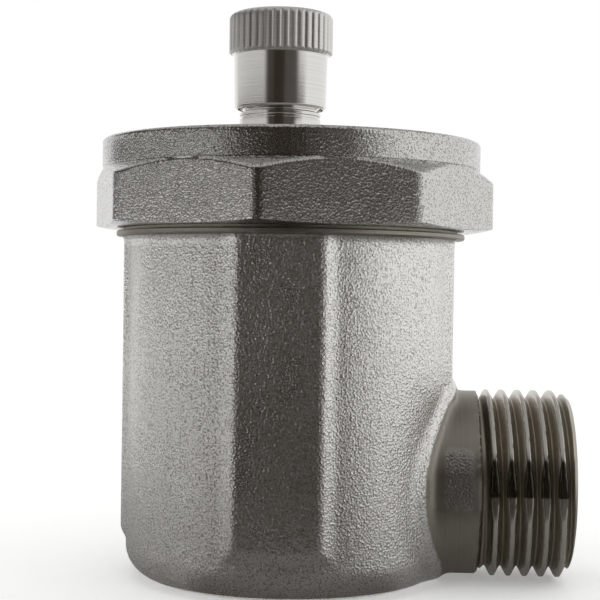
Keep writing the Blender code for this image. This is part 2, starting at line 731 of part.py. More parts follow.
def make_jet_seal(parts, material):
    """Seal ring round the jet's spigot."""
    major = JET_BORE_RADIUS - SEAL_GAP - JET_SEAL_WIRE / 2
    place = (STEM_OFFSET_X, 0, COVER_CEILING_Z + JET_SPIGOT_LENGTH / 2)
    seal = torus("jet_seal", major, (JET_SEAL_WIRE - SEAL_GAP) / 2, SMALL_STEPS, parts, place)
    return finish_part(seal, material)


# Lever and its bracket


def make_bracket(parts, cutters, material):
    """Bracket clamped under the cover: a plate with two cheeks for the lever's pin."""
    outline = rounded_rectangle(BRACKET_LEFT_X, BRACKET_RIGHT_X, BRACKET_WIDTH / 2, BRACKET_CORNER)
    bracket = extruded("lever_bracket", outline, BRACKET_BOTTOM_Z, BRACKET_TOP_Z, parts)
    half = CHEEK_WIDTH / 2
    round_end = arc((PIVOT_X, PIVOT_Z), half, 180, 360, 8)
    cheek_top = BRACKET_BOTTOM_Z + OVERLAP
    cheek = [*round_end, (PIVOT_X + half, cheek_top), (PIVOT_X - half, cheek_top)]
    upright = (pi / 2, 0, 0)
    front = extruded("cheek_front", cheek, CHEEK_INNER_Y, BRACKET_WIDTH / 2, cutters, rotation=upright)
    back = extruded("cheek_back", cheek, -BRACKET_WIDTH / 2, -CHEEK_INNER_Y, cutters, rotation=upright)
    jet_hole = rod(
        "bracket_jet_hole",
        JET_SPIGOT_RADIUS + SEAT_GAP,
        BRACKET_BOTTOM_Z - MM,
        BRACKET_TOP_Z + MM,
        cutters,
        location=(STEM_OFFSET_X, 0, 0),
    )
    pin_hole = rod(
        "bracket_pin_hole",
        PIN_RADIUS + RUNNING_GAP,
        -BRACKET_WIDTH,
        BRACKET_WIDTH,
        cutters,
        PIN_STEPS,
        location=(PIVOT_X, 0, PIVOT_Z),
        rotation=upright,
    )
    combine(bracket, [front, back], "UNION")
    combine(bracket, [jet_hole, pin_hole], "DIFFERENCE")
    return finish_part(bracket, material)


def make_pivot_pin(parts, material):
    """Pin through both cheeks and the lever's barrel."""
    half = BRACKET_WIDTH / 2 + PIN_OVERHANG
    place = {"location": (PIVOT_X, 0, PIVOT_Z), "rotation": (pi / 2, 0, 0)}
    pin = rod("pivot_pin", PIN_RADIUS, -half, half, parts, PIN_STEPS, **place)
    return finish_part(pin, material)


def lever_outline():
    """Plan of the lever: wide round the valve pad and the pivot, narrow at the eye."""
    pad_half = VALVE_PAD_RADIUS + LEVER_EYE_WALL
    tip = LEVER_ARM + LEVER_EYE_RADIUS + LEVER_EYE_WALL
    neck_start = PAD_ARM + pad_half
    upper = [
        (tip, LEVER_END_WIDTH / 2),
        (neck_start + LEVER_END_WIDTH, LEVER_END_WIDTH / 2),
        (neck_start, pad_half),
        (-LEVER_TAIL + pad_half / 2, pad_half),
    ]
    tail = arc((-LEVER_TAIL + pad_half / 2, 0), pad_half, 90, 270, 8)
    lower = [(x, -y) for x, y in reversed(upper)]
    return [*upper, *tail[1:-1], *lower]


def make_lever(parts, cutters, pivot, material):
    """Lever about its pivot: arm, barrel, pocket for the valve pad, and the eye for the float's link."""
    lever = extruded("lever", lever_outline(), LEVER_TOP_RISE - LEVER_THICKNESS, LEVER_TOP_RISE, parts)
    upright = {"rotation": (pi / 2, 0, 0)}
    barrel = rod("lever_barrel", LEVER_BARREL_RADIUS, -LEVER_HALF_WIDTH, LEVER_HALF_WIDTH, cutters, **upright)
    half_eye = LEVER_END_WIDTH / 2 + LEVER_EYE_LIP
    boss_radius = LEVER_EYE_RADIUS + LEVER_EYE_WALL
    through = (-BRACKET_WIDTH, BRACKET_WIDTH, cutters, PIN_STEPS)
    at_eye = {"location": (LEVER_ARM, 0, 0), **upright}
    eye_boss = rod("lever_eye_boss", boss_radius, -half_eye, half_eye, cutters, **at_eye)
    pin_hole = rod("lever_pin_hole", PIN_RADIUS + RUNNING_GAP, *through, **upright)
    eye = rod("lever_eye", LEVER_EYE_RADIUS, *through, **at_eye)
    pocket = rod(
        "pad_pocket",
        VALVE_PAD_RADIUS + SEAL_GAP,
        LEVER_TOP_RISE - PAD_POCKET_DEPTH,
        LEVER_TOP_RISE + MM,
        cutters,
        location=(PAD_ARM, 0, 0),
    )
    combine(lever, [barrel, eye_boss], "UNION")
    combine(lever, [pin_hole, eye, pocket], "DIFFERENCE")
    for obj in (lever, barrel, eye_boss, pin_hole, eye, pocket):
        obj.parent = pivot
    return finish_part(lever, material)


def make_valve_pad(parts, pivot, material):
    """Rubber pad in the lever's pocket, which closes the jet."""
    place = {"location": (PAD_ARM, 0, 0)}
    pad = rod("valve_pad", VALVE_PAD_RADIUS, PAD_POCKET_FLOOR, PAD_TOP_RISE, parts, PIN_STEPS, **place)
    pad.parent = pivot
    return finish_part(pad, material)


def make_spring(parts, material):
    """Return spring between the bracket's plate and the lever's tail."""
    tail_x = PIVOT_X - (LEVER_TAIL - SPRING_RADIUS / 2) * cos(OPEN_ANGLE)
    reach = LEVER_TAIL + SPRING_RADIUS / 2
    tail_top = PIVOT_Z + LEVER_TOP_RISE / cos(OPEN_ANGLE) + reach * sin(OPEN_ANGLE)
    top = BRACKET_BOTTOM_Z - SPRING_WIRE / 2 - SEAL_GAP
    bottom = tail_top + SPRING_WIRE / 2 + SEAL_GAP
    count = SPRING_TURNS * SPRING_POINTS_PER_TURN
    points = []
    for i in range(count + 1):
        angle = tau * i / SPRING_POINTS_PER_TURN
        height = bottom + (top - bottom) * i / count
        points.append((SPRING_RADIUS * cos(angle), SPRING_RADIUS * sin(angle), height))
    spring = wire("lever_spring", points, SPRING_WIRE, parts, location=(tail_x, 0, 0))
    return finish_part(spring, material)


# Float


def make_float_cup(parts, guide, material):
    """Hollow float, open at the top until its lid is welded on."""
    inner = FLOAT_RADIUS - FLOAT_WALL
    outer_edge = arc((FLOAT_RADIUS - FLOAT_EDGE, FLOAT_BOTTOM_Z + FLOAT_EDGE), FLOAT_EDGE, 0, -90)
    profile = [
        (0, FLOAT_BOTTOM_Z + FLOAT_WALL),
        (inner, FLOAT_BOTTOM_Z + FLOAT_WALL),
        (inner, FLOAT_TOP_Z),
        (FLOAT_RADIUS, FLOAT_TOP_Z),
        *outer_edge,
        (0, FLOAT_BOTTOM_Z),
    ]
    cup = solid_turned("float_cup", profile, FLOAT_STEPS, parts)
    cup.parent = guide
    return finish_part(cup, material)


def make_float_lid(parts, cutters, guide, material):
    """Lid of the float, with a spigot inside the cup and an eye post for the link."""
    spigot = FLOAT_RADIUS - FLOAT_WALL - SEAT_GAP
    profile = [
        (0, LID_TOP_Z),
        (FLOAT_RADIUS - LID_THICKNESS / 2, LID_TOP_Z),
        (FLOAT_RADIUS, LID_TOP_Z - LID_THICKNESS / 2),
        (FLOAT_RADIUS, LID_BOTTOM_Z),
        (spigot, LID_BOTTOM_Z),
        (spigot, LID_BOTTOM_Z - LID_SPIGOT),
        (spigot - FLOAT_WALL, LID_BOTTOM_Z - LID_SPIGOT),
        (spigot - FLOAT_WALL, LID_BOTTOM_Z),
        (0, LID_BOTTOM_Z),
    ]
    lid = solid_turned("float_lid", profile, FLOAT_STEPS, parts)
    half = POST_WIDTH / 2
    top = LID_TOP_Z + POST_HEIGHT
    outline = [
        (EYE_X - half, LID_TOP_Z - OVERLAP),
        (EYE_X + half, LID_TOP_Z - OVERLAP),
        *arc((EYE_X, top - half), half, 0, 180, 8),
    ]
    upright = (pi / 2, 0, 0)
    post = extruded("lid_post", outline, -POST_THICKNESS / 2, POST_THICKNESS / 2, cutters, rotation=upright)
    place = {"location": (EYE_X, 0, POST_EYE_Z), "rotation": upright}
    eye = rod("lid_eye", POST_EYE_RADIUS, -POST_THICKNESS, POST_THICKNESS, cutters, PIN_STEPS, **place)
    combine(lid, [post], "UNION")
    combine(lid, [eye], "DIFFERENCE")
    for obj in (lid, post, eye):
        obj.parent = guide
    return finish_part(lid, material)


def make_float_link(parts, guide, material):
    """Wire staple that hangs the float in the lever's eye."""
    outside = POST_THICKNESS / 2 + LINK_STANDOFF + LINK_WIRE / 2
    inside = -POST_THICKNESS / 2 - LINK_STANDOFF
    lower = arc((outside - LINK_BEND, LINK_BOTTOM_Z + LINK_BEND), LINK_BEND, -90, 0, 3)
    upper = arc((outside - LINK_BEND, LINK_TOP_Z - LINK_BEND), LINK_BEND, 0, 90, 3)
    route = [(inside, LINK_BOTTOM_Z), *lower, *upper, (inside, LINK_TOP_Z)]
    link = wire("float_link", [(EYE_X, y, z) for y, z in route], LINK_WIRE, parts)
    link.parent = guide
    return finish_part(link, material)


# Assembly


def empty_at(name, location, group, rotation=(0, 0, 0)):
    """Makes an empty that carries a moving group of pieces."""
    empty = bpy.data.objects.new(name, None)
    empty.location = location
    empty.rotation_euler = rotation
    group.objects.link(empty)
    return empty


def main():
    """Builds every piece of the valve."""
    clear_scene()
    parts = new_collection(PARTS_NAME)
    cutters = new_collection(CUTTERS_NAME)
    cutters.hide_render = True

    cast_nickel = make_material("nickel_forging", (0.52, 0.50, 0.46), 0.42, 1.0)
    turned_nickel = make_material("nickel_turned", (0.60, 0.58, 0.54), 0.22, 1.0)
    brass = make_material("jet_brass", (0.72, 0.55, 0.27), 0.3, 1.0)
    rubber = make_material("seal_rubber", (0.03, 0.03, 0.03), 0.7, 0.0)
    white_plastic = make_material("float_plastic", (0.85, 0.84, 0.80), 0.45, 0.0)
    dark_plastic = make_material("bracket_plastic", (0.10, 0.10, 0.11), 0.45, 0.0)
    steel = make_material("spring_steel", (0.62, 0.62, 0.63), 0.28, 1.0)

    cap_axis = empty_at("cap_axis", (STEM_OFFSET_X, 0, 0), parts)
    lever_axis = empty_at("lever_axis", (PIVOT_X, 0, PIVOT_Z), parts, (0, OPEN_ANGLE, 0))
    float_axis = empty_at("float_axis", (0, 0, 0), parts)

    make_body(parts, cutters, cast_nickel)
    make_cover_seal(parts, rubber)
    make_cover(parts, cutters, turned_nickel)
    make_dust_cap(parts, cutters, cap_axis, turned_nickel)
    make_cap_gasket(parts, cap_axis, rubber)
    make_jet(parts, brass)
    make_jet_seal(parts, rubber)
    make_bracket(parts, cutters, dark_plastic)
    make_pivot_pin(parts, steel)
    make_lever(parts, cutters, lever_axis, white_plastic)
    make_valve_pad(parts, lever_axis, rubber)
    make_spring(parts, steel)
    make_float_cup(parts, float_axis, white_plastic)
    make_float_lid(parts, cutters, float_axis, white_plastic)
    make_float_link(parts, float_axis, steel)


main()
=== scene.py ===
"""Air release valve with a side inlet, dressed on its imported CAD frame.

Metres, +Z up, the inlet points along +X and the photographed front faces -Y. Forged and turned nickel pieces
replace the outer CAD nodes, and the pieces inside the chamber keep their CAD shape under finished materials.
"""

import logging
from dataclasses import dataclass, field
from enum import Enum
from itertools import product
from math import cos, pi, radians, sin, tau
from typing import Callable, Iterable, Optional, Sequence, Union

import bpy
import numpy as np
from mathutils import Matrix, Vector


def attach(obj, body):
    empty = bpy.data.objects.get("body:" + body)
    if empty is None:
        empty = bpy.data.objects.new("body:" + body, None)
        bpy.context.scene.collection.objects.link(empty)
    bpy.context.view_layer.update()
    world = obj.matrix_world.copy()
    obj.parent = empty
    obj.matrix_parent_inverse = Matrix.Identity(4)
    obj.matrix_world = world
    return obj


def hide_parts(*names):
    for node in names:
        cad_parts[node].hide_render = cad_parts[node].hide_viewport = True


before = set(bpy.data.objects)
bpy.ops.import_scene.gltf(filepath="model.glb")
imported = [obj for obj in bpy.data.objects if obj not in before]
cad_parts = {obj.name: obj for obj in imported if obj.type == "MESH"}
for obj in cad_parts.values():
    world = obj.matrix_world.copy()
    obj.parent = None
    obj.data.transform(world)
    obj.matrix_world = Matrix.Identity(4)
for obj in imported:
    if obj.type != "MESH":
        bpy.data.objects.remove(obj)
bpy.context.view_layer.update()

MM = 0.001
FLANK_FOOT = 0.92
FLANK_RUN = 0.72
FLANK_ROUNDING = 0.25
FLUTE_WIDTH = 0.36
FLUTE_SHARE = 0.45
LOG = logging.getLogger("air_release_valve")

Color = tuple[float, float, float]
Point2 = tuple[float, float]
Term = Union["Wire", float]
Finish = bpy.types.Material
Piece = bpy.types.Object
Socket = bpy.types.NodeSocket


class Slot(Enum):
    """Material slots of the record."""

    FORGING = "nickel_forging"
    TURNED = "nickel_turned"
    BRASS = "jet_brass"
    RUBBER = "seal_rubber"
    FLOAT = "float_plastic"
    BRACKET = "bracket_plastic"
    STEEL = "spring_steel"


class Axis(Enum):
    """Direction that a turned piece stands along."""

    UP = "up"
    INLET = "inlet"


# Node graphs


def operator(operation: str, other_first: bool = False) -> Callable[["Wire", Term], "Wire"]:
    """A method of Wire that adds one Math node.

    Args:
        operation: the node's operation.
        other_first: whether the other number is the node's first term.

    Returns:
        The method.
    """

    def method(wire: "Wire", other: Term) -> "Wire":
        return wire.math(operation, wire, first=other) if other_first else wire.math(operation, other)

    return method


class Wire:
    """One number that runs through a node graph. Arithmetic on it adds Math nodes."""

    def __init__(self, graph: "Graph", socket: Socket) -> None:
        """Holds the socket that the number comes from."""
        self.graph = graph
        self.socket = socket

    def math(self, operation: str, *terms: Term, first: Optional[Term] = None) -> "Wire":
        """Adds one Math node.

        Args:
            operation: the node's operation.
            terms: what follows the first term.
            first: the first term, where it isn't this wire.

        Returns:
            The node's result.
        """
        values = dict(enumerate((self if first is None else first, *terms)))
        return self.graph.node("ShaderNodeMath", {"operation": operation}, values).wire(0)

    __add__ = __radd__ = operator("ADD")
    __sub__, __rsub__ = operator("SUBTRACT"), operator("SUBTRACT", True)
    __mul__ = __rmul__ = operator("MULTIPLY")
    __truediv__, __rtruediv__ = operator("DIVIDE"), operator("DIVIDE", True)
    low, high = operator("MINIMUM"), operator("MAXIMUM")

    def __abs__(self) -> "Wire":
        """Size without sign."""
        return self.math("ABSOLUTE")

    def ramp(self, start: float, end: float) -> "Wire":
        """Soft step.

        Args:
            start: value that gives 0.
            end: value that gives 1; it may be the lower one.

        Returns:
            The step, smooth at both ends.
        """
        settings = {"interpolation_type": "SMOOTHSTEP"}
        inputs = {"Value": self, "From Min": min(start, end), "From Max": max(start, end)}
        step = self.graph.node("ShaderNodeMapRange", settings, inputs).wire(0)
        return 1 - step if start > end else step

    def clamped(self) -> "Wire":
        """The number, kept from 0 to 1."""
        return self.high(0.0).low(1.0)


class Made:
    """A node that was added to a graph."""

    def __init__(self, graph: "Graph", node: bpy.types.Node) -> None:
        """Holds the node."""
        self.graph = graph
        self.node = node

    def wire(self, key: int | str) -> Wire:
        """One output of the node."""
        return Wire(self.graph, Graph.find(self.node.outputs, key))


class Graph:
    """A node tree, for a material, a world or a geometry rule."""

    def __init__(self, tree: bpy.types.NodeTree) -> None:
        """Starts on an empty tree."""
        self.tree = tree
        tree.nodes.clear()

    def node(
        self,
        kind: str,
        settings: Optional[dict[str, object]] = None,
        inputs: Optional[dict[int | str, object]] = None,
    ) -> Made:
        """Adds a node.

        Args:
            kind: the node's type.
            settings: its own settings, set before its sockets.
            inputs: value, wire or socket for each input, by name, identifier or number.

        Returns:
            The node that was added.
        """
        node = self.tree.nodes.new(kind)
        for name, value in (settings or {}).items():
            setattr(node, name, value)
        for key, value in (inputs or {}).items():
            self.join(self.find(node.inputs, key), value)
        return Made(self, node)

    @staticmethod
    def find(sockets: Sequence[Socket], key: int | str) -> Socket:
        """Looks up a socket by number, identifier or name."""
        if isinstance(key, int):
            return sockets[key]
        exact = [socket for socket in sockets if socket.identifier == key]
        return exact[0] if exact else sockets[key]

    def join(self, socket: Socket, value: object) -> None:
        """Links a wire to a socket, or sets its value."""
        if isinstance(value, Wire):
            value = value.socket
        if isinstance(value, Socket):
            self.tree.links.new(value, socket)
        elif isinstance(value, tuple) and len(value) == 3 and len(socket.default_value) == 4:
            socket.default_value = (*value, 1.0)
        else:
            socket.default_value = value

    def split(self, vector: Wire) -> tuple[Wire, Wire, Wire]:
        """The three numbers of a vector."""
        parts = self.node("ShaderNodeSeparateXYZ", inputs={0: vector})
        return parts.wire(0), parts.wire(1), parts.wire(2)

    def cells(self, vector: Wire, size: float) -> Wire:
        """Dents in space: 0 at the bottom of a dent, about 0.7 at the ridge between two."""
        sockets = {"Vector": vector, "Scale": 1 / size, "Randomness": 1.0}
        settings = {"voronoi_dimensions": "3D", "feature": "F1"}
        return self.node("ShaderNodeTexVoronoi", settings, sockets).wire(0)

    def lines(self, along: Wire, size: float, detail: float = 2.0) -> Wire:
        """Noise that changes in one direction only, as tool marks do."""
        sockets = {"W": along, "Scale": 1 / size, "Detail": detail, "Roughness": 0.7}
        return self.node("ShaderNodeTexNoise", {"noise_dimensions": "1D"}, sockets).wire(0)

    def blend(self, share: Term, low: object, high: object) -> Wire:
        """Mix of two colours."""
        inputs = {"Factor_Float": share, "A_Color": low, "B_Color": high}
        return self.node("ShaderNodeMix", {"data_type": "RGBA"}, inputs).wire("Result_Color")

    def length(self, *parts: Wire) -> Wire:
        """Distance from the origin, from two or three coordinates."""
        total = parts[0] * parts[0]
        for part in parts[1:]:
            total = total + part * part
        return total.math("SQRT")

    def seen(self) -> Wire:
        """1 on the rays that show what they meet, 0 on those that only gather light."""
        path = self.node("ShaderNodeLightPath")
        camera, glossy, clear = (path.wire(f"Is {kind} Ray") for kind in ("Camera", "Glossy", "Transmission"))
        return camera.high(glossy).high(clear)


class Coat(Graph):
    """A new material's graph, with the coordinates of the object that wears it."""

    def __init__(self, name: str) -> None:
        """Makes the material."""
        self.material = bpy.data.materials.new(name)
        self.material.use_nodes = True
        super().__init__(self.material.node_tree)
        self.place = self.node("ShaderNodeTexCoord").wire("Object")
        self.x, self.y, self.z = self.split(self.place)

    def cloud(self, size: float, detail: float = 2.0, **more: float) -> Wire:
        """Noise on the object's coordinates.

        Args:
            size: width of one blotch in metres.
            detail: octaves.
            more: other sockets of the node, by name.

        Returns:
            The noise, about 0.5 in the middle.
        """
        sockets = {"Vector": self.place, "Scale": 1 / size, "Detail": detail}
        sockets.update({name.capitalize(): value for name, value in more.items()})
        return self.node("ShaderNodeTexNoise", {"noise_dimensions": "3D"}, sockets).wire(0)

    def end(self, shader: Made) -> Finish:
        """Ends the graph in the material's output."""
        self.node("ShaderNodeOutputMaterial", inputs={"Surface": shader.wire(0)})
        return self.material

    def finish(self, color: Wire, rough: Term, height: Wire, metallic: float = 1.0) -> Finish:
        """Ends the graph in one surface.

        Args:
            color: base colour.
            rough: roughness.
            height: relief in metres.
            metallic: 1 for metal, 0 for anything else.

        Returns:
            The material.
        """
        relief = {"Strength": 1.0, "Distance": 1.0, "Height": height}
        bump = self.node("ShaderNodeBump", inputs=relief).wire("Normal")
        inputs = {"Base Color": color, "Metallic": metallic, "Roughness": rough, "Normal": bump}
        return self.end(self.node("ShaderNodeBsdfPrincipled", inputs=inputs))


# Finishes


@dataclass(frozen=True)
class NickelPlate:
    """Nickel on brass: shot-blasted forging skin, with bright turned zones where a tool has cut."""

    name: str
    tone: Color = (0.76, 0.75, 0.73)
    hollow_tone: Color = (0.44, 0.42, 0.385)
    # Tone of darkened spots: painted shade in the thread's roots, and a darker raw flat on the body.
    darkened_tone: Color = (0.135, 0.120, 0.095)
    # Painted dark reflection of the thread's crest flats.
    flat_reflection_tone: Color = (0.085, 0.075, 0.060)
    turned_tone: Color = (0.72, 0.71, 0.685)
    # Painted shade in the grooves of the tool marks.
    groove_shade_tone: Color = (0.52, 0.50, 0.46)
    grain: float = 0.25 * MM
    relief: float = 0.046 * MM
    skin_roughness: float = 0.28
    turned_roughness: float = 0.12
    mark_width: float = 0.14 * MM
    mark_relief: float = 0.0015 * MM
    mark_range: Point2 = (0.60, 0.36)
    mark_share: float = 0.4
    pit_range: Point2 = (0.50, 0.36)
    fine_share: float = 0.22
    swell_size: float = 6 * MM
    swell_relief: float = 0.08 * MM
    darkened_roughness: float = 0.18
    rolled_roughness: float = 0.27

    def turned_zone(self, coat: Coat) -> Term:
        """Where the piece is turned: 0 on the forging skin, 1 on a cut surface."""
        return 0.0

    def mark_path(self, coat: Coat) -> Wire:
        """Coordinate that the tool marks change along."""
        return coat.z

    def spots(self, coat: Coat) -> dict[str, Wire]:
        """Where it is "darkened", dark and duller, "rolled", duller only, or "flat_reflection", dark only; on
        the thread the dark spots are painted shade and a painted reflection.
        """
        return {}

    def material(self) -> Finish:
        """Builds the finish.

        Returns:
            The material, on Object coordinates.
        """
        coat = Coat(self.name)
        turned = self.turned_zone(coat)
        dent = coat.cells(coat.place, self.grain)
        fine = coat.cloud(self.grain * 0.40, 1.0, roughness=0.5)
        hollow = coat.cloud(self.grain * 0.75, 1.0).ramp(*self.pit_range)
        swell = coat.cloud(self.swell_size) - 0.5
        skin = dent * dent + fine * self.fine_share
        marks = coat.lines(self.mark_path(coat), self.mark_width, 3.0)
        color = coat.blend(hollow, self.tone, self.hollow_tone)
        rough = self.skin_roughness + hollow * 0.10 + swell * 0.08
        height = skin * self.relief + swell * self.swell_relief
        # Painted shade: darker where the tool marks' relief is low, in their grooves.
        groove_shade = marks.ramp(*self.mark_range) * self.mark_share
        cut_color = coat.blend(groove_shade, self.turned_tone, self.groove_shade_tone)
        cut_rough = self.turned_roughness + (marks - 0.5) * 0.10 + swell * 0.04
        cut_height = marks * self.mark_relief
        if isinstance(turned, Wire):
            color = coat.blend(turned, color, cut_color)
            rough = rough + (cut_rough - rough) * turned
            height = height + (cut_height - height) * turned
        elif turned:
            color, rough, height = cut_color, cut_rough, cut_height
        # Spots darken, dull or both: on the thread this is painted shade in the roots and a painted
        # reflection on the crest flats.
        for kind, share in self.spots(coat).items():
            if kind != "rolled":
                color = coat.blend(share, color, self.flat_reflection_tone if kind == "flat_reflection" else self.darkened_tone)
            if kind != "flat_reflection":
                duller = self.rolled_roughness if kind == "rolled" else self.darkened_roughness
                rough = rough + share * duller
        return coat.finish(color, rough, height)


@dataclass(frozen=True)
class BodyNickel(NickelPlate):
    """Forged body: turned on its collar and on the neck of the inlet, except for two raw flats."""

    turned_tone: Color = (0.34, 0.315, 0.275)
    # Painted shade in the tool-mark grooves of the collar and neck.
    groove_shade_tone: Color = (0.24, 0.22, 0.185)
    turned_roughness: float = 0.42
    collar_z: float = 38.02 * MM
    inlet_z: float = 10.8 * MM
    neck_reach: float = 10.9 * MM
    neck_start_x: float = 12.0 * MM
    patch_half_height: float = 3.1 * MM
    patch_end_x: float = 20.7 * MM
    neck_end_x: float = 17.9 * MM
    patch_darkening: float = 0.6
    patch_rise: float = 2.0 * MM

    def turned_zone(self, coat: Coat) -> Term:
        """Collar, neck and bore; the flats on both sides of the neck keep the forging skin."""
        ragged = (coat.cloud(0.8 * MM) - 0.5) * (1.2 * MM)
        reach = coat.length(coat.y, coat.z - self.inlet_z) + ragged * 0.25
        neck = reach.ramp(self.neck_reach + 0.25 * MM, self.neck_reach)
        neck = neck * coat.x.ramp(self.neck_start_x, self.neck_start_x + 0.5 * MM)
        collar = coat.z.ramp(self.collar_z - 0.04 * MM, self.collar_z)
        return (neck * (1 - self.patch(coat, ragged))).high(collar)

    def patch(self, coat: Coat, ragged: Term) -> Wire:
        """Raw flat on both sides of the neck.

        Args:
            coat: the finish that it belongs to.
            ragged: how far its upper and lower edges wander.

        Returns:
            1 on the flat, 0 elsewhere, with a soft edge.
        """
        edge, end = self.patch_half_height, self.patch_end_x
        rise = abs(coat.z - self.inlet_z - self.patch_rise) + ragged
        inside = rise.ramp(edge + 1.0 * MM, edge - 0.2 * MM)
        outward = abs(coat.y).ramp(9.0 * MM, 9.6 * MM)
        along = coat.x.ramp(self.neck_end_x - 0.6 * MM, self.neck_end_x)
        return inside * outward * along * coat.x.ramp(end + 0.2 * MM, end - 0.6 * MM)

    def spots(self, coat: Coat) -> dict[str, Wire]:
        """The raw flats are darker and duller than the skin around them."""
        return {"darkened": self.patch(coat, 0.0) * self.patch_darkening}

    def mark_path(self, coat: Coat) -> Wire:
        """Marks run round the collar, and round the neck."""
        return coat.x * 0.9 + coat.z.high(self.collar_z)


@dataclass(frozen=True)
class CoverNickel(NickelPlate):
    """Forged octagon cover: its vent stem is turned, and its nickel is painted darker than the body's, as
    shade.
    """

    # Both tones are painted shade: darker copies of the body's nickel.
    tone: Color = (0.60, 0.59, 0.57)
    hollow_tone: Color = (0.28, 0.27, 0.25)
    relief: float = 0.019 * MM
    skin_roughness: float = 0.18
    stem_x: float = -1.4 * MM
    stem_reach: float = 5.2 * MM
    top_z: float = 48.8 * MM

    def turned_zone(self, coat: Coat) -> Term:
        """The stem and its foot."""
        reach = coat.length(coat.x - self.stem_x, coat.y)
        above = coat.z.ramp(self.top_z, self.top_z + 0.05 * MM)
        return reach.ramp(self.stem_reach + 0.15 * MM, self.stem_reach) * above


@dataclass(frozen=True)
class TurnedNickel(NickelPlate):
    """Nickel plate on a piece that is turned all over."""

    axis: Axis = Axis.UP

    def turned_zone(self, coat: Coat) -> Term:
        """All of it."""
        return 1.0

    def mark_path(self, coat: Coat) -> Wire:
        """Marks run round the piece's own axis."""
        return coat.z if self.axis is Axis.UP else coat.x


@dataclass(frozen=True)
class KnurledNickel(TurnedNickel):
    """Turned nickel of the dust cap, duller on its knurled rim."""

    turned_roughness: float = 0.14
    rim_z: float = 58.95 * MM
    rim_top_z: float = 63.3 * MM

    def spots(self, coat: Coat) -> dict[str, Wire]:
        """Rolled on the knurled rim."""
        above = coat.z.ramp(self.rim_z, self.rim_z + 0.1 * MM)
        return {"rolled": above * coat.z.ramp(self.rim_top_z + 0.2 * MM, self.rim_top_z)}


@dataclass(frozen=True)
class ThreadNickel(TurnedNickel):
    """Turned nickel of the pipe thread, duller and painted darker down in the roots, as shade."""

    axis: Axis = Axis.INLET
    axis_z: float = 10.8 * MM
    # Painted shade in the roots of the thread.
    darkened_tone: Color = (0.36, 0.325, 0.265)
    turned_roughness: float = 0.22
    root_radius: float = 9.40 * MM
    crest_radius: float = 10.35 * MM
    flat_half_height: float = 2.50 * MM
    flat_rise: float = 2.2 * MM
    turned_tone: Color = (0.50, 0.475, 0.43)
    flat_from: float = 9.72 * MM

    def spots(self, coat: Coat) -> dict[str, Wire]:
        """Painted shade with more roughness in the roots, and a painted dark reflection on the crests' flats
        on both sides of the inlet.
        """
        wander = (coat.cloud(1.1 * MM, 3.0) - 0.5) * (0.5 * MM)
        reach = coat.length(coat.y, coat.z - self.axis_z) + wander
        # Painted shade: darker and duller from the crests down into the roots.
        darkened = reach.ramp(self.crest_radius, self.root_radius) * reach.ramp(8.2 * MM, 8.6 * MM)
        # Painted dark reflection on the crest flats, centred flat_rise above the axis.
        edge = 0.08 * MM
        rise = abs(coat.z - self.axis_z - self.flat_rise)
        inside = rise.ramp(self.flat_half_height + edge, self.flat_half_height - edge)
        flat_reflection = inside * abs(coat.y).ramp(self.flat_from, self.flat_from + 0.15 * MM)
        return {"darkened": darkened, "flat_reflection": flat_reflection}


@dataclass(frozen=True)
class Brass:
    """Bare turned brass of the jet."""

    name: str
    tone: Color = (0.80, 0.60, 0.28)
    tarnish: Color = (0.46, 0.30, 0.12)

    def material(self) -> Finish:
        """Builds the finish, with fine rings and a light tarnish."""
        coat = Coat(self.name)
        cloud = coat.cloud(2.2 * MM, 3.0, roughness=0.6)
        color = coat.blend(cloud.ramp(0.52, 0.80) * 0.7, self.tone, self.tarnish)
        rings = coat.lines(coat.z, 0.12 * MM, 3.0)
        return coat.finish(color, 0.24 + cloud * 0.16, rings * (0.008 * MM))


@dataclass(frozen=True)
class Rubber:
    """Moulded black rubber of seals and pads."""

    name: str
    tone: Color = (0.028, 0.028, 0.030)
    dull: Color = (0.070, 0.068, 0.066)

    def material(self) -> Finish:
        """Builds the finish, with a dull bloom."""
        coat = Coat(self.name)
        bloom = coat.cloud(1.6 * MM, 3.0, roughness=0.6)
        color = coat.blend(bloom.ramp(0.45, 0.75), self.tone, self.dull)
        return coat.finish(color, 0.52 + bloom * 0.2, coat.cloud(0.10 * MM) * (0.012 * MM), 0.0)


@dataclass(frozen=True)
class Moulded:
    """Satin moulded plastic."""

    name: str
    tone: Color = (0.80, 0.78, 0.72)
    shade: Color = (0.68, 0.655, 0.59)
    roughness: float = 0.42

    def material(self) -> Finish:
        """Builds the finish, with flow marks and a fine spark-eroded skin."""
        coat = Coat(self.name)
        flow = coat.cloud(7 * MM, 3.0, distortion=0.8)
        color = coat.blend(flow.ramp(0.40, 0.72), self.tone, self.shade)
        rough = self.roughness + (flow - 0.5) * 0.12
        return coat.finish(color, rough, coat.cloud(0.16 * MM) * (0.010 * MM), 0.0)


@dataclass(frozen=True)
class SpringSteel:
    """Drawn stainless wire and pin."""

    name: str
    tone: Color = (0.62, 0.62, 0.63)
    shade: Color = (0.40, 0.40, 0.41)

    def material(self) -> Finish:
        """Builds the finish, with drawing streaks."""
        coat = Coat(self.name)
        streaks = coat.cloud(0.22 * MM, 3.0, roughness=0.65)
        color = coat.blend(streaks.ramp(0.45, 0.75) * 0.7, self.tone, self.shade)
        return coat.finish(color, 0.22 + streaks * 0.18, streaks * (0.008 * MM))


# Meshes


def new_piece(name: str, points: Sequence, faces: Sequence) -> Piece:
    """Puts a mesh into the scene as an object at the origin."""
    mesh = bpy.data.meshes.new(name)
    mesh.from_pydata(points, [], faces)
    piece = bpy.data.objects.new(name, mesh)
    bpy.context.scene.collection.objects.link(piece)
    return piece


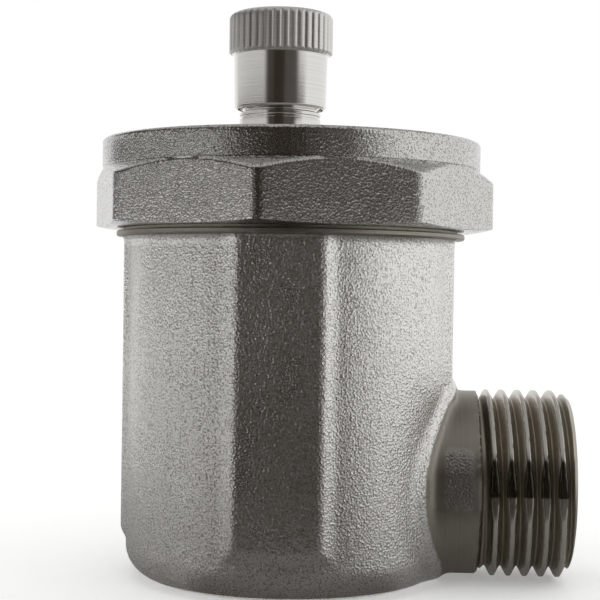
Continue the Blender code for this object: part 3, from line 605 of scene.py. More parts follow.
def keep_result(piece: Piece, change: bpy.types.Modifier) -> None:
    """Turns what a modifier makes into the piece's own mesh."""
    state = bpy.context.evaluated_depsgraph_get()
    result = bpy.data.meshes.new_from_object(piece.evaluated_get(state))
    piece.modifiers.remove(change)
    piece.data = result


def arc(center: Point2, radius: float, start: float, end: float, steps: int = 6) -> list[Point2]:
    """Points on a circle, from one angle to another in degrees."""
    turns = [radians(start + (end - start) * i / steps) for i in range(steps + 1)]
    return [(center[0] + radius * cos(t), center[1] + radius * sin(t)) for t in turns]


def dense(points: Sequence[Point2], pitch: float) -> list[Point2]:
    """The same path with points no further apart than the pitch."""
    filled = [points[0]]
    for (r0, z0), (r1, z1) in zip(points, points[1:]):
        parts = max(1, round(((r1 - r0) ** 2 + (z1 - z0) ** 2) ** 0.5 / pitch))
        filled += [(r0 + (r1 - r0) * i / parts, z0 + (z1 - z0) * i / parts) for i in range(1, parts + 1)]
    return filled


def turned(
    name: str,
    profile: Sequence[Point2],
    steps: int,
    axis: Axis = Axis.UP,
    origin: tuple[float, float, float] = (0.0, 0.0, 0.0),
) -> Piece:
    """A solid turned from a closed half section.

    Args:
        name: name of the object.
        profile: (radius, height) round the half section, clockwise with radius to the right.
        steps: faces round the axis.
        axis: direction of the axis.
        origin: point that the axis starts from.

    Returns:
        The object, with its place in its mesh.
    """
    turns = np.arange(steps) * tau / steps
    rows: list[np.ndarray] = []
    index: list[np.ndarray] = []
    count = 0
    for radius, height in profile:
        around = 1 if radius < 1e-9 else steps
        angle = turns[:around]
        ring = np.stack([radius * np.cos(angle), radius * np.sin(angle), np.full(around, height)], 1)
        rows.append(ring)
        index.append(np.arange(count, count + around) if around > 1 else np.full(steps, count))
        count += around
    faces = []
    for here, there in zip(index, [*index[1:], index[0]]):
        nxt_here, nxt_there = np.roll(here, -1), np.roll(there, -1)
        for a, b, c, d in zip(here, nxt_here, nxt_there, there):
            face = list(dict.fromkeys((int(a), int(d), int(c), int(b))))
            if len(face) > 2:
                faces.append(face)
    piece = new_piece(name, np.concatenate(rows).tolist(), faces)
    turn = Matrix.Rotation(pi / 2, 4, "Y") if axis is Axis.INLET else Matrix.Identity(4)
    piece.data.transform(Matrix.Translation(origin) @ turn)
    return piece


def cut(target: Piece, tools: Iterable[Piece], operation: str) -> None:
    """Applies Booleans to a closed mesh and removes the tools."""
    for tool in tools:
        change = target.modifiers.new(operation, "BOOLEAN")
        change.operation, change.object, change.solver = operation, tool, "MANIFOLD"
        keep_result(target, change)
        bpy.data.objects.remove(tool, do_unlink=True)


def smooth(obj: Piece, angle: float = 38.0) -> None:
    """Smooth shading, with edges sharper than the angle left sharp."""
    obj.data.shade_smooth()
    obj.data.set_sharp_from_angle(angle=radians(angle))


def settle(obj: Piece, material: Finish, body: str, nodes: Sequence[str]) -> None:
    """Gives a finished piece its material and body, and hides the CAD nodes that it stands in for."""
    obj.data.materials.clear()
    obj.data.materials.append(material)
    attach(obj, body)
    if nodes:
        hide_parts(*nodes)
    LOG.info("%s: %d faces on %s", obj.name, len(obj.data.polygons), body)


# Geometry rules


class Rule:
    """A Geometry Nodes tree that moves the points of a turned blank about its own Z axis."""

    def __init__(self, name: str, sizes: dict[str, float]) -> None:
        """Opens the tree.

        Args:
            name: name of the tree.
            sizes: its named inputs with their values.
        """
        self.tree = bpy.data.node_groups.new(name, "GeometryNodeTree")
        self.graph = Graph(self.tree)
        self.sizes = sizes
        inputs = {"Geometry": "Geometry", **dict.fromkeys(sizes, "Float"), "Finish": "Material"}
        for label, kind in inputs.items():
            self.tree.interface.new_socket(label, in_out="INPUT", socket_type=f"NodeSocket{kind}")
        self.tree.interface.new_socket("Geometry", in_out="OUTPUT", socket_type="NodeSocketGeometry")
        self.entry = self.graph.node("NodeGroupInput")
        position = self.graph.node("GeometryNodeInputPosition").wire(0)
        self.x, self.y, self.z = self.graph.split(position)
        self.radius = self.graph.length(self.x, self.y)
        self.angle = self.y.math("ARCTAN2", self.x)

    def size(self, label: str) -> Wire:
        """One named input."""
        return self.entry.wire(label)

    def close(self, new_radius: Wire) -> None:
        """Ends the tree: every point goes to the new radius, at its own angle and height."""
        graph = self.graph
        share = new_radius / self.radius.high(1e-6)
        place = {0: self.x * share, 1: self.y * share, 2: self.z}
        spot = graph.node("ShaderNodeCombineXYZ", inputs=place).wire(0)
        move = {"Geometry": self.size("Geometry"), "Position": spot}
        placed = graph.node("GeometryNodeSetPosition", inputs=move).wire(0)
        real = graph.node("GeometryNodeRealizeInstances", inputs={0: placed}).wire(0)
        dress = {"Geometry": real, "Material": self.size("Finish")}
        graph.node("NodeGroupOutput", inputs={0: graph.node("GeometryNodeSetMaterial", inputs=dress).wire(0)})

    def apply(self, obj: Piece, finish: Finish) -> None:
        """Runs the tree on a blank and keeps the result as a plain mesh."""
        change = obj.modifiers.new(self.tree.name, "NODES")
        change.node_group = self.tree
        values = {**self.sizes, "Finish": finish}
        for item in self.tree.interface.items_tree:
            if item.in_out == "INPUT" and item.name in values:
                change[item.identifier] = values[item.name]
        obj.update_tag()
        keep_result(obj, change)


def thread_rule(sizes: dict[str, float]) -> Rule:
    """Right-hand thread: crests raised on a plain root, fading into both ends.

    Args:
        sizes: Pitch, Shift, Depth, Root Radius, Start, End, Run In, Run Out, Chamfer, Flat Reach.

    Returns:
        The rule, ready to apply.
    """
    rule = Rule("helical_thread", sizes)
    size = rule.size
    phase = ((rule.z - size("Shift")) / size("Pitch") - rule.angle / tau).math("FRACT")
    fold = abs(phase - 0.5) * 2
    flank = ((FLANK_FOOT - fold) / FLANK_RUN).clamped()
    round_flank = flank * flank * (3 - 2 * flank)
    height = (flank * (1 - FLANK_ROUNDING) + round_flank * FLANK_ROUNDING) * size("Depth")
    run_in = ((rule.z - size("Start")) / size("Run In")).clamped()
    run_out = ((size("End") - rule.z) / size("Run Out")).clamped()
    raised = rule.radius + height * run_in * run_out
    crest = size("Root Radius") + size("Depth")
    cone = crest - (rule.z - (size("End") - size("Chamfer"))).high(0.0)
    flat = size("Flat Reach") / abs(rule.angle.math("SINE")).high(0.2)
    limited = raised.low(cone.high(size("Root Radius") * 0.9)).low(flat)
    on_thread = rule.radius.math("GREATER_THAN", size("Root Radius") - 0.02 * MM)
    inside = rule.z.math("GREATER_THAN", size("Start")) * rule.z.math("LESS_THAN", size("End"))
    rule.close(rule.radius + (limited - rule.radius) * on_thread * inside)
    return rule


def knurl_rule(sizes: dict[str, float]) -> Rule:
    """Straight knurl: flutes cut into a round rim, fading at both ends.

    Args:
        sizes: Count, Depth, Bottom, Top, Fade, Reach.

    Returns:
        The rule, ready to apply.
    """
    rule = Rule("straight_knurl", sizes)
    size = rule.size
    phase = (rule.angle / tau * size("Count") + 64.0).math("FRACT")
    fold = abs(phase - 0.5) * 2
    groove = (1 - fold / FLUTE_WIDTH).high(0.0)
    flute = groove * (2 - groove) * FLUTE_SHARE + (1 - fold) * (1 - fold) * (1 - FLUTE_SHARE)
    low = ((rule.z - size("Bottom")) / size("Fade")).clamped()
    high = ((size("Top") - rule.z) / size("Fade")).clamped()
    rim = rule.radius.math("GREATER_THAN", size("Reach"))
    rule.close(rule.radius - flute * size("Depth") * low * high * rim)
    return rule


def octagon_rule(sizes: dict[str, float]) -> Rule:
    """Octagon with soft corners, cut from a turned blank whose chamfers stay.

    Args:
        sizes: Across Flats, Turn, Corner, Edge, Bottom, Top, Reach.

    Returns:
        The rule, ready to apply.
    """
    rule = Rule("octagon_flats", sizes)
    size = rule.size
    eighth = tau / 8
    local = ((rule.angle - size("Turn")) / eighth + 64.0).math("FRACT") * eighth
    near = local.low(eighth - local)
    corner = (eighth / 2 - near).math("COSINE")
    beside = (eighth / 2 + near).math("COSINE")
    reach = size("Across Flats") / 2 / corner.math("SMOOTH_MAX", beside, size("Corner"))
    flat = rule.radius.math("SMOOTH_MIN", reach, size("Edge"))
    inside = rule.z.math("GREATER_THAN", size("Bottom")) * rule.z.math("LESS_THAN", size("Top"))
    outer = rule.radius.math("GREATER_THAN", size("Reach"))
    rule.close(rule.radius + (flat - rule.radius) * inside * outer)
    return rule


# Forged shapes as distances


def soft_union(a: np.ndarray, b: np.ndarray, run: float) -> np.ndarray:
    """Union of two distances with a fillet."""
    share = np.clip(0.5 + 0.5 * (b - a) / run, 0, 1)
    return b * (1 - share) + a * share - run * share * (1 - share)


def soft_cut(a: np.ndarray, b: np.ndarray, run: float) -> np.ndarray:
    """Intersection of two distances with a rounded edge."""
    return -soft_union(-a, -b, run)


def skin_of(distance: Callable[[np.ndarray], np.ndarray], low: Vector, high: Vector, step: float) -> tuple:
    """Closed quad skin where a distance is zero.

    Args:
        distance: gives the distance for an array of points.
        low: lowest corner of the searched box.
        high: its highest corner.
        step: width of a cell.

    Returns:
        Points and faces.
    """
    counts = [int((b - a) / step) + 2 for a, b in zip(low, high)]
    axes = [a + step * np.arange(n) for a, n in zip(low, counts)]
    grid = np.stack(np.meshgrid(*axes, indexing="ij"), -1)
    value = distance(grid.reshape(-1, 3)).reshape(counts)
    corners = list(product((0, 1), repeat=3))
    size = [n - 1 for n in counts]

    def at(corner: tuple[int, int, int]) -> np.ndarray:
        return value[tuple(slice(c, c + n) for c, n in zip(corner, size))]

    inside = sum((at(c) < 0).astype(np.int8) for c in corners)
    active = (inside > 0) & (inside < 8)
    number = np.full(size, -1)
    number[active] = np.arange(active.sum())
    total = np.zeros((*size, 3))
    hits = np.zeros(size)
    for a, d in product(corners, range(3)):
        if a[d]:
            continue
        va, vb = at(a), at(tuple(c + (n == d) for n, c in enumerate(a)))
        crossed = (va < 0) != (vb < 0)
        share = np.where(crossed, va / np.where(crossed, va - vb, 1), 0)
        for n in range(3):
            total[..., n] += crossed * (a[n] + (share if n == d else 0))
        hits += crossed
    cells = np.argwhere(active)
    points = np.array(low) + step * (cells + total[active] / hits[active][:, None])
    faces = []
    for d in range(3):
        u, v = (d + 1) % 3, (d + 2) % 3
        layers = np.moveaxis(value, d, 0)
        va, vb = (np.moveaxis(part, 0, d) for part in (layers[:-1], layers[1:]))
        edges = np.argwhere((va < 0) != (vb < 0))
        for n in (u, v):
            edges = edges[(edges[:, n] > 0) & (edges[:, n] < size[n])]
        leaving = va[tuple(edges.T)] < 0
        around = []
        for du, dv in ((-1, -1), (0, -1), (0, 0), (-1, 0)):
            cell = edges.copy()
            cell[:, u] += du
            cell[:, v] += dv
            around.append(number[tuple(cell.T)])
        quad = np.stack(around, 1)
        quad[~leaving] = quad[~leaving][:, ::-1]
        faces.append(quad)
    return settle_points(distance, points, step), np.concatenate(faces)


def settle_points(
    distance: Callable[[np.ndarray], np.ndarray], points: np.ndarray, step: float
) -> np.ndarray:
    """Moves points along the slope of a distance until they lie on its skin."""
    probe = step * 0.05
    for _ in range(4):
        here = distance(points)
        slope = [distance(points + probe * unit) - distance(points - probe * unit) for unit in np.eye(3)]
        slope = np.stack(slope, 1) / (2 * probe)
        size = np.maximum((slope**2).sum(1), 0.25)
        points = points - np.clip(here / size, -step, step)[:, None] * slope
    return points


# Sub-assemblies


@dataclass
class ForgedBody:
    """Float chamber with four raised pads, turned collar, neck for the cover and the root of the inlet."""

    radius: float = 18.3 * MM
    base_fillet: float = 3.5 * MM
    skin_top_z: float = 38.3 * MM
    pad_count: int = 4
    pad_reach: float = 18.45 * MM
    pad_width: float = 9.5 * MM
    pad_side_run: float = 1.6 * MM
    pad_root_depth: float = 2.0 * MM
    pad_bottom_z: float = 3.6 * MM
    pad_end_run: float = 1.5 * MM
    pad_edge: float = 0.55 * MM
    pad_root: float = 0.5 * MM
    collar_bottom_z: float = 38.1 * MM
    collar_top_z: float = 38.7 * MM
    collar_radius: float = 19.75 * MM
    collar_fillet: float = 1.0 * MM
    neck_radius: float = 18.75 * MM
    neck_top_z: float = 46.0 * MM
    chamber_radius: float = 16.2 * MM
    chamber_floor_z: float = 2.6 * MM
    chamber_corner: float = 3.0 * MM
    groove_radius: float = 17.5 * MM
    groove_z: float = 44.5 * MM
    groove_half: float = 0.75 * MM
    inlet_z: float = 10.8 * MM
    inlet_radius: float = 10.3 * MM
    inlet_flat: float = 10.12 * MM
    inlet_start_x: float = 8 * MM
    inlet_end_x: float = 21.42 * MM
    boss_radius: float = 11.0 * MM
    boss_rise: float = 0.55 * MM
    bore_radius: float = 7.5 * MM
    cell: float = 0.36 * MM

    def distance(self, points: np.ndarray) -> np.ndarray:
        """Distance to the forging's outer skin.

        Args:
            points: places in metres.

        Returns:
            The distance of each, below zero inside.
        """
        x, y, z = points.T
        reach = np.hypot(x, y)
        side, foot = reach - self.radius + self.base_fillet, self.base_fillet - z
        barrel = np.minimum(np.maximum(side, foot), 0) + np.hypot(np.maximum(side, 0), np.maximum(foot, 0))
        barrel = barrel - self.base_fillet
        collar = np.maximum(reach - self.collar_radius + 0.15 * MM, self.collar_bottom_z + 0.05 * MM - z)
        skin = soft_union(barrel, collar, self.collar_fillet / 0.85)
        for turn in range(self.pad_count):
            skin = soft_union(skin, self.pad(x, y, z, turn * tau / self.pad_count), self.pad_root)
        around = np.hypot(y, z - self.inlet_z)
        boss = soft_cut(around - self.boss_radius, barrel - self.boss_rise, 0.5 * MM)
        boss = np.maximum(boss, self.inlet_start_x - x)
        neck = soft_cut(around - self.inlet_radius, np.abs(y) - self.inlet_flat, 0.10 * MM)
        neck = np.maximum(np.maximum(neck, self.inlet_start_x - x), x - self.inlet_end_x)
        skin = soft_union(soft_union(skin, boss, 1.5 * MM), neck, 0.7 * MM)
        return np.maximum(np.maximum(skin, z - self.skin_top_z), -z)

    def pad(self, x: np.ndarray, y: np.ndarray, z: np.ndarray, angle: float) -> np.ndarray:
        """Distance to one raised pad that faces the given angle."""
        out = x * cos(angle) + y * sin(angle)
        across = np.abs(y * cos(angle) - x * sin(angle))
        slant = np.hypot(self.pad_side_run, self.pad_root_depth)
        beside = across - self.pad_width / 2
        sides = ((out - self.pad_reach) * self.pad_side_run + beside * self.pad_root_depth) / slant
        end_slant = np.hypot(self.pad_end_run, self.pad_root_depth)
        rise = self.pad_bottom_z + self.pad_end_run - z
        end = ((out - self.pad_reach) * self.pad_end_run + rise * self.pad_root_depth) / end_slant
        block = soft_cut(soft_cut(out - self.pad_reach, sides, self.pad_edge), end, self.pad_edge)
        return np.maximum(block, 12 * MM - out)

    def build(self, finish: Finish) -> Piece:
        """Makes the closed body: forging skin, turned collar and neck, chamber and bore."""
        low = Vector((-19.9, -19.9, -0.4)) * MM
        high = Vector((23.2, 19.9, 38.8)) * MM
        points, faces = skin_of(self.distance, low, high, self.cell)
        body = new_piece("valve_body", points.tolist(), faces.tolist())
        body.data.materials.append(finish)
        cut(body, [self.collar()], "UNION")
        cut(body, [self.chamber(), self.bore()], "DIFFERENCE")
        smooth(body)
        return body

    def collar(self) -> Piece:
        """Turned collar with the neck above it, as a ring."""
        edge, chamfer = 0.12 * MM, 0.5 * MM
        groove_top, groove_low = self.groove_z + self.groove_half, self.groove_z - self.groove_half
        inner, neck, ring = self.chamber_radius - 1.0 * MM, self.neck_radius, self.collar_radius
        profile = [
            (inner, self.collar_bottom_z), (inner, self.neck_top_z), (neck - chamfer, self.neck_top_z),
            (neck, self.neck_top_z - chamfer), (neck, groove_top), (self.groove_radius, groove_top),
            (self.groove_radius, groove_low), (neck, groove_low), (neck, self.collar_top_z),
            (ring - edge, self.collar_top_z), (ring, self.collar_top_z - edge),
            (ring, self.collar_bottom_z + edge), (ring - edge, self.collar_bottom_z),
        ]
        return turned("collar_ring", profile, 256)

    def chamber(self) -> Piece:
        """Cutter for the float chamber."""
        corner = (self.chamber_radius - self.chamber_corner, self.chamber_floor_z + self.chamber_corner)
        profile = [
            (0.0, self.chamber_floor_z), (0.0, self.neck_top_z + MM),
            (self.chamber_radius, self.neck_top_z + MM),
            *arc(corner, self.chamber_corner, 0, -90, 8),
        ]
        return turned("chamber_cutter", profile, 128)

    def bore(self) -> Piece:
        """Cutter for the inlet's bore."""
        profile = [
            (0.0, 10 * MM), (0.0, self.inlet_end_x + MM), (self.bore_radius, self.inlet_end_x + MM),
            (self.bore_radius, 10 * MM),
        ]
        return turned("bore_cutter", profile, 96, Axis.INLET, (0, 0, self.inlet_z))


@dataclass
class InletThread:
    """Male pipe thread of the inlet, with its relief, end chamfer and two forging flats."""

    axis_z: float = 10.8 * MM
    crest_radius: float = 10.4775 * MM
    pitch: float = 1.814 * MM
    shift: float = 0.65 * MM
    depth: float = 1.12 * MM
    start_x: float = 21.4 * MM
    end_x: float = 31.7 * MM
    relief_width: float = 0.8 * MM
    chamfer: float = 1.0 * MM
    flat_reach: float = 10.12 * MM
    bore_radius: float = 7.5 * MM
    steps: int = 160
    row: float = 0.085 * MM

    def build(self, finish: Finish) -> Piece:
        """Makes the threaded end from a turned blank."""
        root = self.crest_radius - self.depth
        outer = dense([(root, self.start_x), (root, self.end_x - 0.001 * MM)], self.row)
        profile = [
            (self.bore_radius + 0.3 * MM, self.end_x), (self.bore_radius, self.end_x - 0.3 * MM),
            (self.bore_radius, self.start_x), *outer, (root - 0.15 * MM, self.end_x),
        ]
        thread = turned("inlet_thread", profile[::-1], self.steps)
        sizes = {
            "Pitch": self.pitch, "Shift": self.shift, "Depth": self.depth, "Root Radius": root,
            "Start": self.start_x + 0.1 * MM, "End": self.end_x, "Run In": self.relief_width,
            "Run Out": 0.05 * MM, "Chamfer": self.chamfer, "Flat Reach": self.flat_reach,
        }
        thread_rule(sizes).apply(thread, finish)
        thread.data.transform(Matrix.Translation((0, 0, self.axis_z)) @ Matrix.Rotation(pi / 2, 4, "Y"))
        smooth(thread, 50)
        return thread


@dataclass
class OctagonCover:
    """Screwed cover: octagon with soft corners, ring above it and the off-center vent stem."""

    across_flats: float = 42.6 * MM
    turn: float = radians(-5.5)
    bottom_z: float = 39.0 * MM
    corner_top_z: float = 44.3 * MM
    chamfer_top_z: float = 45.6 * MM
    ring_bottom_z: float = 45.8 * MM
    ring_radius: float = 21.4 * MM
    top_z: float = 48.9 * MM
    tip_radius: float = 22.89 * MM
    lower_chamfer: float = 0.4 * MM
    corner_soft: float = 0.041
    edge_soft: float = 0.45 * MM
    cavity_radius: float = 18.9 * MM
    ceiling_z: float = 46.4 * MM
    stem_x: float = -1.4 * MM
    stem_root: float = 4.22 * MM
    stem_depth: float = 0.50 * MM
    neck_radius: float = 4.63 * MM
    neck_height: float = 3.6 * MM
    stem_pitch: float = 0.907 * MM
    stem_top_z: float = 60.2 * MM
    jet_bore: float = 3.0 * MM
    vent_bore: float = 1.5 * MM
    steps: int = 320
    row: float = 0.16 * MM

    def build(self, finish: Finish) -> Piece:
        """Makes the cover with its stem, hollow below."""
        tip, ring = self.tip_radius + 0.3 * MM, self.ring_radius
        edge, foot = 0.4 * MM, 0.5 * MM
        outer = dense(
            [
                (20.9 * MM, self.bottom_z), (21.2 * MM, self.bottom_z + 0.03 * MM),
                (tip, self.bottom_z + self.lower_chamfer), (tip, self.corner_top_z),
                (ring, self.chamfer_top_z),
            ],
            self.row,
        )
        profile = [
            (self.cavity_radius, self.bottom_z), *outer,
            (ring - 0.12 * MM, self.ring_bottom_z - 0.02 * MM),
            *dense([(ring, self.ring_bottom_z + 0.12 * MM), (ring, self.top_z - edge)], 0.5 * MM),
            *arc((ring - edge, self.top_z - edge), edge, 0, 90, 5)[1:],
            *dense([(ring - 2 * edge, self.top_z), (6.0 * MM, self.top_z)], 1.5 * MM),
            (0.0, self.top_z), (0.0, self.ceiling_z), (self.cavity_radius, self.ceiling_z),
        ]
        cover = turned("octagon_cover", profile[::-1], self.steps)
        sizes = {
            "Across Flats": self.across_flats, "Turn": self.turn, "Corner": self.corner_soft,
            "Edge": self.edge_soft, "Bottom": self.bottom_z - 0.01 * MM,
            "Top": self.chamfer_top_z + 0.05 * MM, "Reach": 20.0 * MM,
        }
        octagon_rule(sizes).apply(cover, finish)
        cut(cover, [self.stem(finish, foot)], "UNION")
        cut(cover, [self.bores()], "DIFFERENCE")
        smooth(cover)
        return cover

    def stem(self, finish: Finish, foot: float) -> Piece:
        """Threaded vent stem with a rounded foot, let into the cover's plate."""
        root, top, neck = self.stem_root, self.stem_top_z, self.neck_radius
        neck_top = self.top_z + self.neck_height
        path = [
            (neck, neck_top - 0.9 * MM), (neck - 0.10 * MM, neck_top - 0.8 * MM),
            (neck - 0.10 * MM, neck_top - 0.6 * MM), (neck, neck_top - 0.5 * MM),
            (neck, neck_top - 0.2 * MM),
            *dense([(root, neck_top), (root, top - 0.001 * MM)], 0.075 * MM),
        ]
        profile = [
            (0.0, self.top_z - 1.0 * MM), (neck + foot, self.top_z - 1.0 * MM),
            *arc((neck + foot, self.top_z + foot), foot, 270, 180, 5), *path,
            (root - 0.2 * MM, top), (0.0, top),
        ]
        stem = turned("vent_stem", profile[::-1], 96)
        sizes = {
            "Pitch": self.stem_pitch, "Shift": 0.0, "Depth": self.stem_depth, "Root Radius": root,
            "Start": neck_top + 0.1 * MM, "End": top, "Run In": 0.6 * MM, "Run Out": 0.1 * MM,
            "Chamfer": 0.5 * MM, "Flat Reach": 30 * MM,
        }
        thread_rule(sizes).apply(stem, finish)
        stem.data.transform(Matrix.Translation((self.stem_x, 0, 0)))
        return stem

    def bores(self) -> Piece:
        """Cutter for the vent bore and the jet's seat."""
        seat = self.top_z + 3.1 * MM
        profile = [
            (0.0, self.ceiling_z - MM), (self.jet_bore, self.ceiling_z - MM), (self.jet_bore, seat),
            (self.vent_bore, seat), (self.vent_bore, self.stem_top_z + MM),
            (0.0, self.stem_top_z + MM),
        ]
        return turned("vent_cutter", profile[::-1], 64, origin=(self.stem_x, 0, 0))


@dataclass
class DustCap:
    """Knurled cap on the vent stem, with a plain tapered skirt."""

    axis_x: float = -1.4 * MM
    bottom_z: float = 52.8 * MM
    skirt_radius: float = 5.2 * MM
    skirt_top_radius: float = 5.32 * MM
    skirt_top_z: float = 58.85 * MM
    knurl_radius: float = 5.9 * MM
    knurl_bottom_z: float = 59.2 * MM
    top_z: float = 63.65 * MM
    top_round: float = 0.75 * MM
    bore_radius: float = 4.85 * MM
    ceiling_z: float = 62.0 * MM
    count: int = 40
    depth: float = 0.17 * MM
    steps: int = 480

    def build(self, finish: Finish) -> Piece:
        """Makes the cap from a turned blank and cuts its flutes."""
        chamfer, hold = 0.2 * MM, 0.04 * MM
        rim, low, bend = self.knurl_radius, self.knurl_bottom_z, self.top_round
        profile = [
            (self.bore_radius, self.bottom_z), (self.skirt_radius - chamfer, self.bottom_z),
            (self.skirt_radius, self.bottom_z + chamfer),
            (self.skirt_radius, self.bottom_z + chamfer + hold),
            (self.skirt_top_radius, self.skirt_top_z - hold),
            *dense([(self.skirt_top_radius, self.skirt_top_z), (rim, low)], 0.15 * MM),
            *dense([(rim, low + 0.1 * MM), (rim, self.top_z - bend)], 0.3 * MM),
            *arc((rim - bend, self.top_z - bend), bend, 0, 90, 8)[1:], (2.5 * MM, self.top_z),
            (0.0, self.top_z), (0.0, self.ceiling_z), (self.bore_radius, self.ceiling_z),
        ]
        cap = turned("knurled_cap", profile[::-1], self.steps)
        sizes = {
            "Count": float(self.count), "Depth": self.depth,
            "Bottom": self.knurl_bottom_z - 0.3 * MM, "Top": self.top_z - 0.25 * MM,
            "Fade": 0.3 * MM, "Reach": self.skirt_top_radius,
        }
        knurl_rule(sizes).apply(cap, finish)
        cap.data.transform(Matrix.Translation((self.axis_x, 0, 0)))
        smooth(cap, 50)
        return cap


@dataclass
class InnerPieces:
    """The CAD nodes that stay as they are: seals, jet, bracket, lever, spring and float."""

    brass: Sequence[str] = ("jet",)
    rubber: Sequence[str] = ("cover_seal", "jet_seal", "valve_pad", "cap_gasket")
    float_plastic: Sequence[str] = ("float_cup", "float_lid", "lever")
    bracket_plastic: Sequence[str] = ("lever_bracket",)
    steel: Sequence[str] = ("pivot_pin", "lever_spring", "float_link")

    def dress(self) -> None:
        """Gives each CAD node its finish."""
        black = Moulded("bracket_moulding", (0.10, 0.10, 0.11), (0.06, 0.06, 0.065), 0.48)
        finishes = (
            (Brass("turned_brass").material(), self.brass),
            (Rubber("black_rubber").material(), self.rubber),
            (Moulded("float_moulding").material(), self.float_plastic),
            (black.material(), self.bracket_plastic),
            (SpringSteel("stainless_wire").material(), self.steel),
        )
        for material, names in finishes:
            for name in names:
                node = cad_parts[name]
                for slot in node.material_slots:
                    slot.material = material
                LOG.info("%s: CAD node in %s", name, material.name)


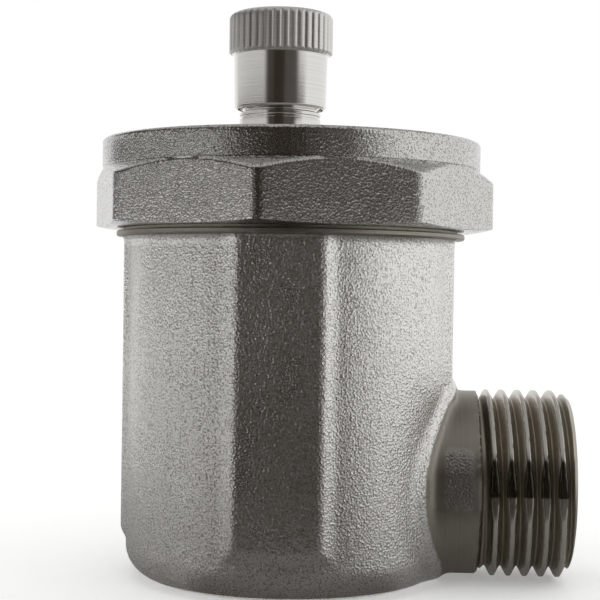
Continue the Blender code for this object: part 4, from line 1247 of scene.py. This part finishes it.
@dataclass
class Studio:
    """Pale floor, white surroundings, dark cards that the metal reflects, and the camera."""

    camera_place: Vector = field(default_factory=lambda: Vector((9.64, -161.64, 33.2)) * MM)
    heading: float = radians(3.0)
    pitch: float = radians(-0.73)
    roll: float = radians(0.8)
    lens: float = 84.9
    card_reach: float = 0.75
    card_height: float = 0.80
    card_hub: float = 0.02
    card_color: Color = (1.0, 0.72, 0.52)
    card_tone: float = 0.032
    front_from: float = radians(-33.0)
    front_to: float = radians(47.0)
    front_lean: float = radians(21.0)
    front_soft: float = radians(7.0)
    lean_from: Point2 = (0.03, 0.12)
    lean_until: Point2 = (0.160, 0.135)
    front_top: Point2 = (0.75, 0.45)
    core_half: float = radians(10.0)
    core_spread: float = radians(18.0)
    core_shade: float = 0.99
    core_far: Point2 = (0.25, 0.10)
    core_near: Point2 = (0.03, 0.05)
    front_shade: float = 0.94
    side_from: float = radians(-132.0)
    left_shade: float = 0.06
    left_edge: Point2 = (0.10, -0.35)
    upper_left_shade: float = 0.96
    upper_left_z: Point2 = (0.015, 0.055)
    window_shade: float = 0.18
    window_from: Point2 = (0.125, 0.14)
    window_until: Point2 = (0.22, 0.19)
    ceiling_shade: float = 0.50
    ceiling_share: Point2 = (0.55, 0.95)
    ground_z: float = 20 * MM
    under_shade: float = 0.70
    under_near: float = 0.030
    under_far: float = 0.230
    sky: float = 0.85
    floor_front: float = 0.55
    floor_lift: float = 0.27
    floor_half: float = 3.0

    def build(self) -> None:
        """Makes the set."""
        for part in (self.world, self.floor, self.cards, self.camera):
            part()
        bpy.context.scene.view_settings.view_transform = "Standard"

    def world(self) -> None:
        """White surroundings at a plain level."""
        world = bpy.data.worlds.new("studio_world")
        bpy.context.scene.world = world
        world.use_nodes = True
        graph = Graph(world.node_tree)
        strength = self.sky + graph.seen() * (1 - self.sky)
        back = graph.node("ShaderNodeBackground", inputs={"Color": (1.0, 1.0, 1.0), "Strength": strength})
        graph.node("ShaderNodeOutputWorld", inputs={"Surface": back.wire(0)})

    def floor(self) -> None:
        """Wide pale floor that the valve stands on."""
        half = self.floor_half
        corners = [(-half, -half, 0), (half, -half, 0), (half, half, 0), (-half, half, 0)]
        floor = new_piece("studio_floor", corners, [(0, 1, 2, 3)])
        coat = Coat("pale_floor")
        glow = coat.blend(coat.seen(), (0.0, 0.0, 0.0), (self.floor_lift,) * 3)
        inputs = {
            "Base Color": (0.92, 0.92, 0.915), "Roughness": 0.9, "Specular IOR Level": 0.0,
            "Emission Color": glow, "Emission Strength": 1.0,
        }
        floor.data.materials.append(coat.end(coat.node("ShaderNodeBsdfPrincipled", inputs=inputs)))

    def cards(self) -> None:
        """Dark cards round, above and below the valve, which only the metal sees."""
        far, high, low = self.card_reach, self.card_height, 0.5 * MM
        hub = self.card_hub
        wall = dense([(hub, low), (far, low), (far, high), (hub, high)], 0.25)
        cards = turned("dark_cards", [(0.0, low), *wall, (0.0, high)], 48)
        coat = Coat("dark_cards")
        share = coat.node("ShaderNodeLightPath").wire("Is Glossy Ray") * self.card_shade(coat)
        dark = coat.node("ShaderNodeEmission", inputs={"Color": self.card_color, "Strength": self.card_tone})
        clear = coat.node("ShaderNodeBsdfTransparent")
        mixed = coat.node("ShaderNodeMixShader", inputs={0: share, 1: clear.wire(0), 2: dark.wire(0)})
        cards.data.materials.append(coat.end(mixed))

    def card_shade(self, coat: Coat) -> Wire:
        """How much of the white surroundings the cards hide.

        Args:
            coat: the cards' finish.

        Returns:
            0 where the white shows, 1 where the card is whole.
        """
        x, y, z, soft = coat.x, coat.y, coat.z, self.front_soft
        reach = coat.length(x, y).high(1 * MM)
        turn = x.math("ARCTAN2", 0 - y)
        front = turn.ramp(self.front_from - soft, self.front_from + soft)
        leaned = turn - z.ramp(*self.lean_from) * z.ramp(*self.lean_until) * self.front_lean
        front = front * leaned.ramp(self.front_to + soft, self.front_to - soft)
        left = (x / reach).ramp(*self.left_edge) * turn.ramp(self.side_from - soft, self.side_from + soft)
        upper = z.ramp(*self.upper_left_z)
        window = z.ramp(*self.window_from) * z.ramp(*self.window_until)
        side = self.left_shade + (self.upper_left_shade - self.left_shade) * upper
        side = left * (side + (self.window_shade - side) * window)
        ceiling = z.ramp(*(self.card_height * share for share in self.ceiling_share)) * self.ceiling_shade
        ground = (1 - z / self.ground_z).high(0.0)
        under = ground * reach.ramp(self.under_far, self.under_near)
        half = self.core_half + reach.ramp(*self.core_far) * self.core_spread
        core = (abs(turn) - half).ramp(soft, 0.0) * reach.ramp(*self.core_near)
        around = self.front_shade * (1 - ground * (1 - self.floor_front))
        front = front * (around + (self.core_shade - around) * core)
        below = z.ramp(*self.front_top)
        open_part = (1 - front * below) * (1 - side * below) * (1 - ceiling)
        return 1 - open_part * (1 - under * self.under_shade)

    def camera(self) -> None:
        """Camera close to the valve, at the photographed angle."""
        data = bpy.data.cameras.new("camera")
        data.lens, data.sensor_width, data.clip_start = self.lens, 36.0, 0.01
        camera = bpy.data.objects.new("camera", data)
        bpy.context.scene.collection.objects.link(camera)
        aim = Matrix.Rotation(self.heading, 4, "Z") @ Matrix.Rotation(pi / 2 + self.pitch, 4, "X")
        camera.matrix_world = Matrix.Translation(self.camera_place) @ aim @ Matrix.Rotation(self.roll, 4, "Z")
        bpy.context.scene.camera = camera


def main() -> None:
    """Builds every sub-assembly in order and logs each piece's face count."""
    logging.basicConfig(level=logging.INFO, format="%(name)s %(message)s")
    pieces = (
        (ForgedBody(), BodyNickel("forged_nickel"), "valve", Slot.FORGING, ["body"]),
        (InletThread(), ThreadNickel("inlet_nickel"), "valve", Slot.FORGING, []),
        (OctagonCover(), CoverNickel("cover_nickel"), "valve", Slot.TURNED, ["cover"]),
        (DustCap(), KnurledNickel("cap_nickel"), "cap", Slot.TURNED, ["dust_cap"]),
    )
    for piece, nickel, body, slot, nodes in pieces:
        finish = nickel.material()
        settle(piece.build(finish), finish, body, nodes)
    InnerPieces().dress()
    Studio().build()
    LOG.info("size note written")


if __name__ == "__main__":
    main()
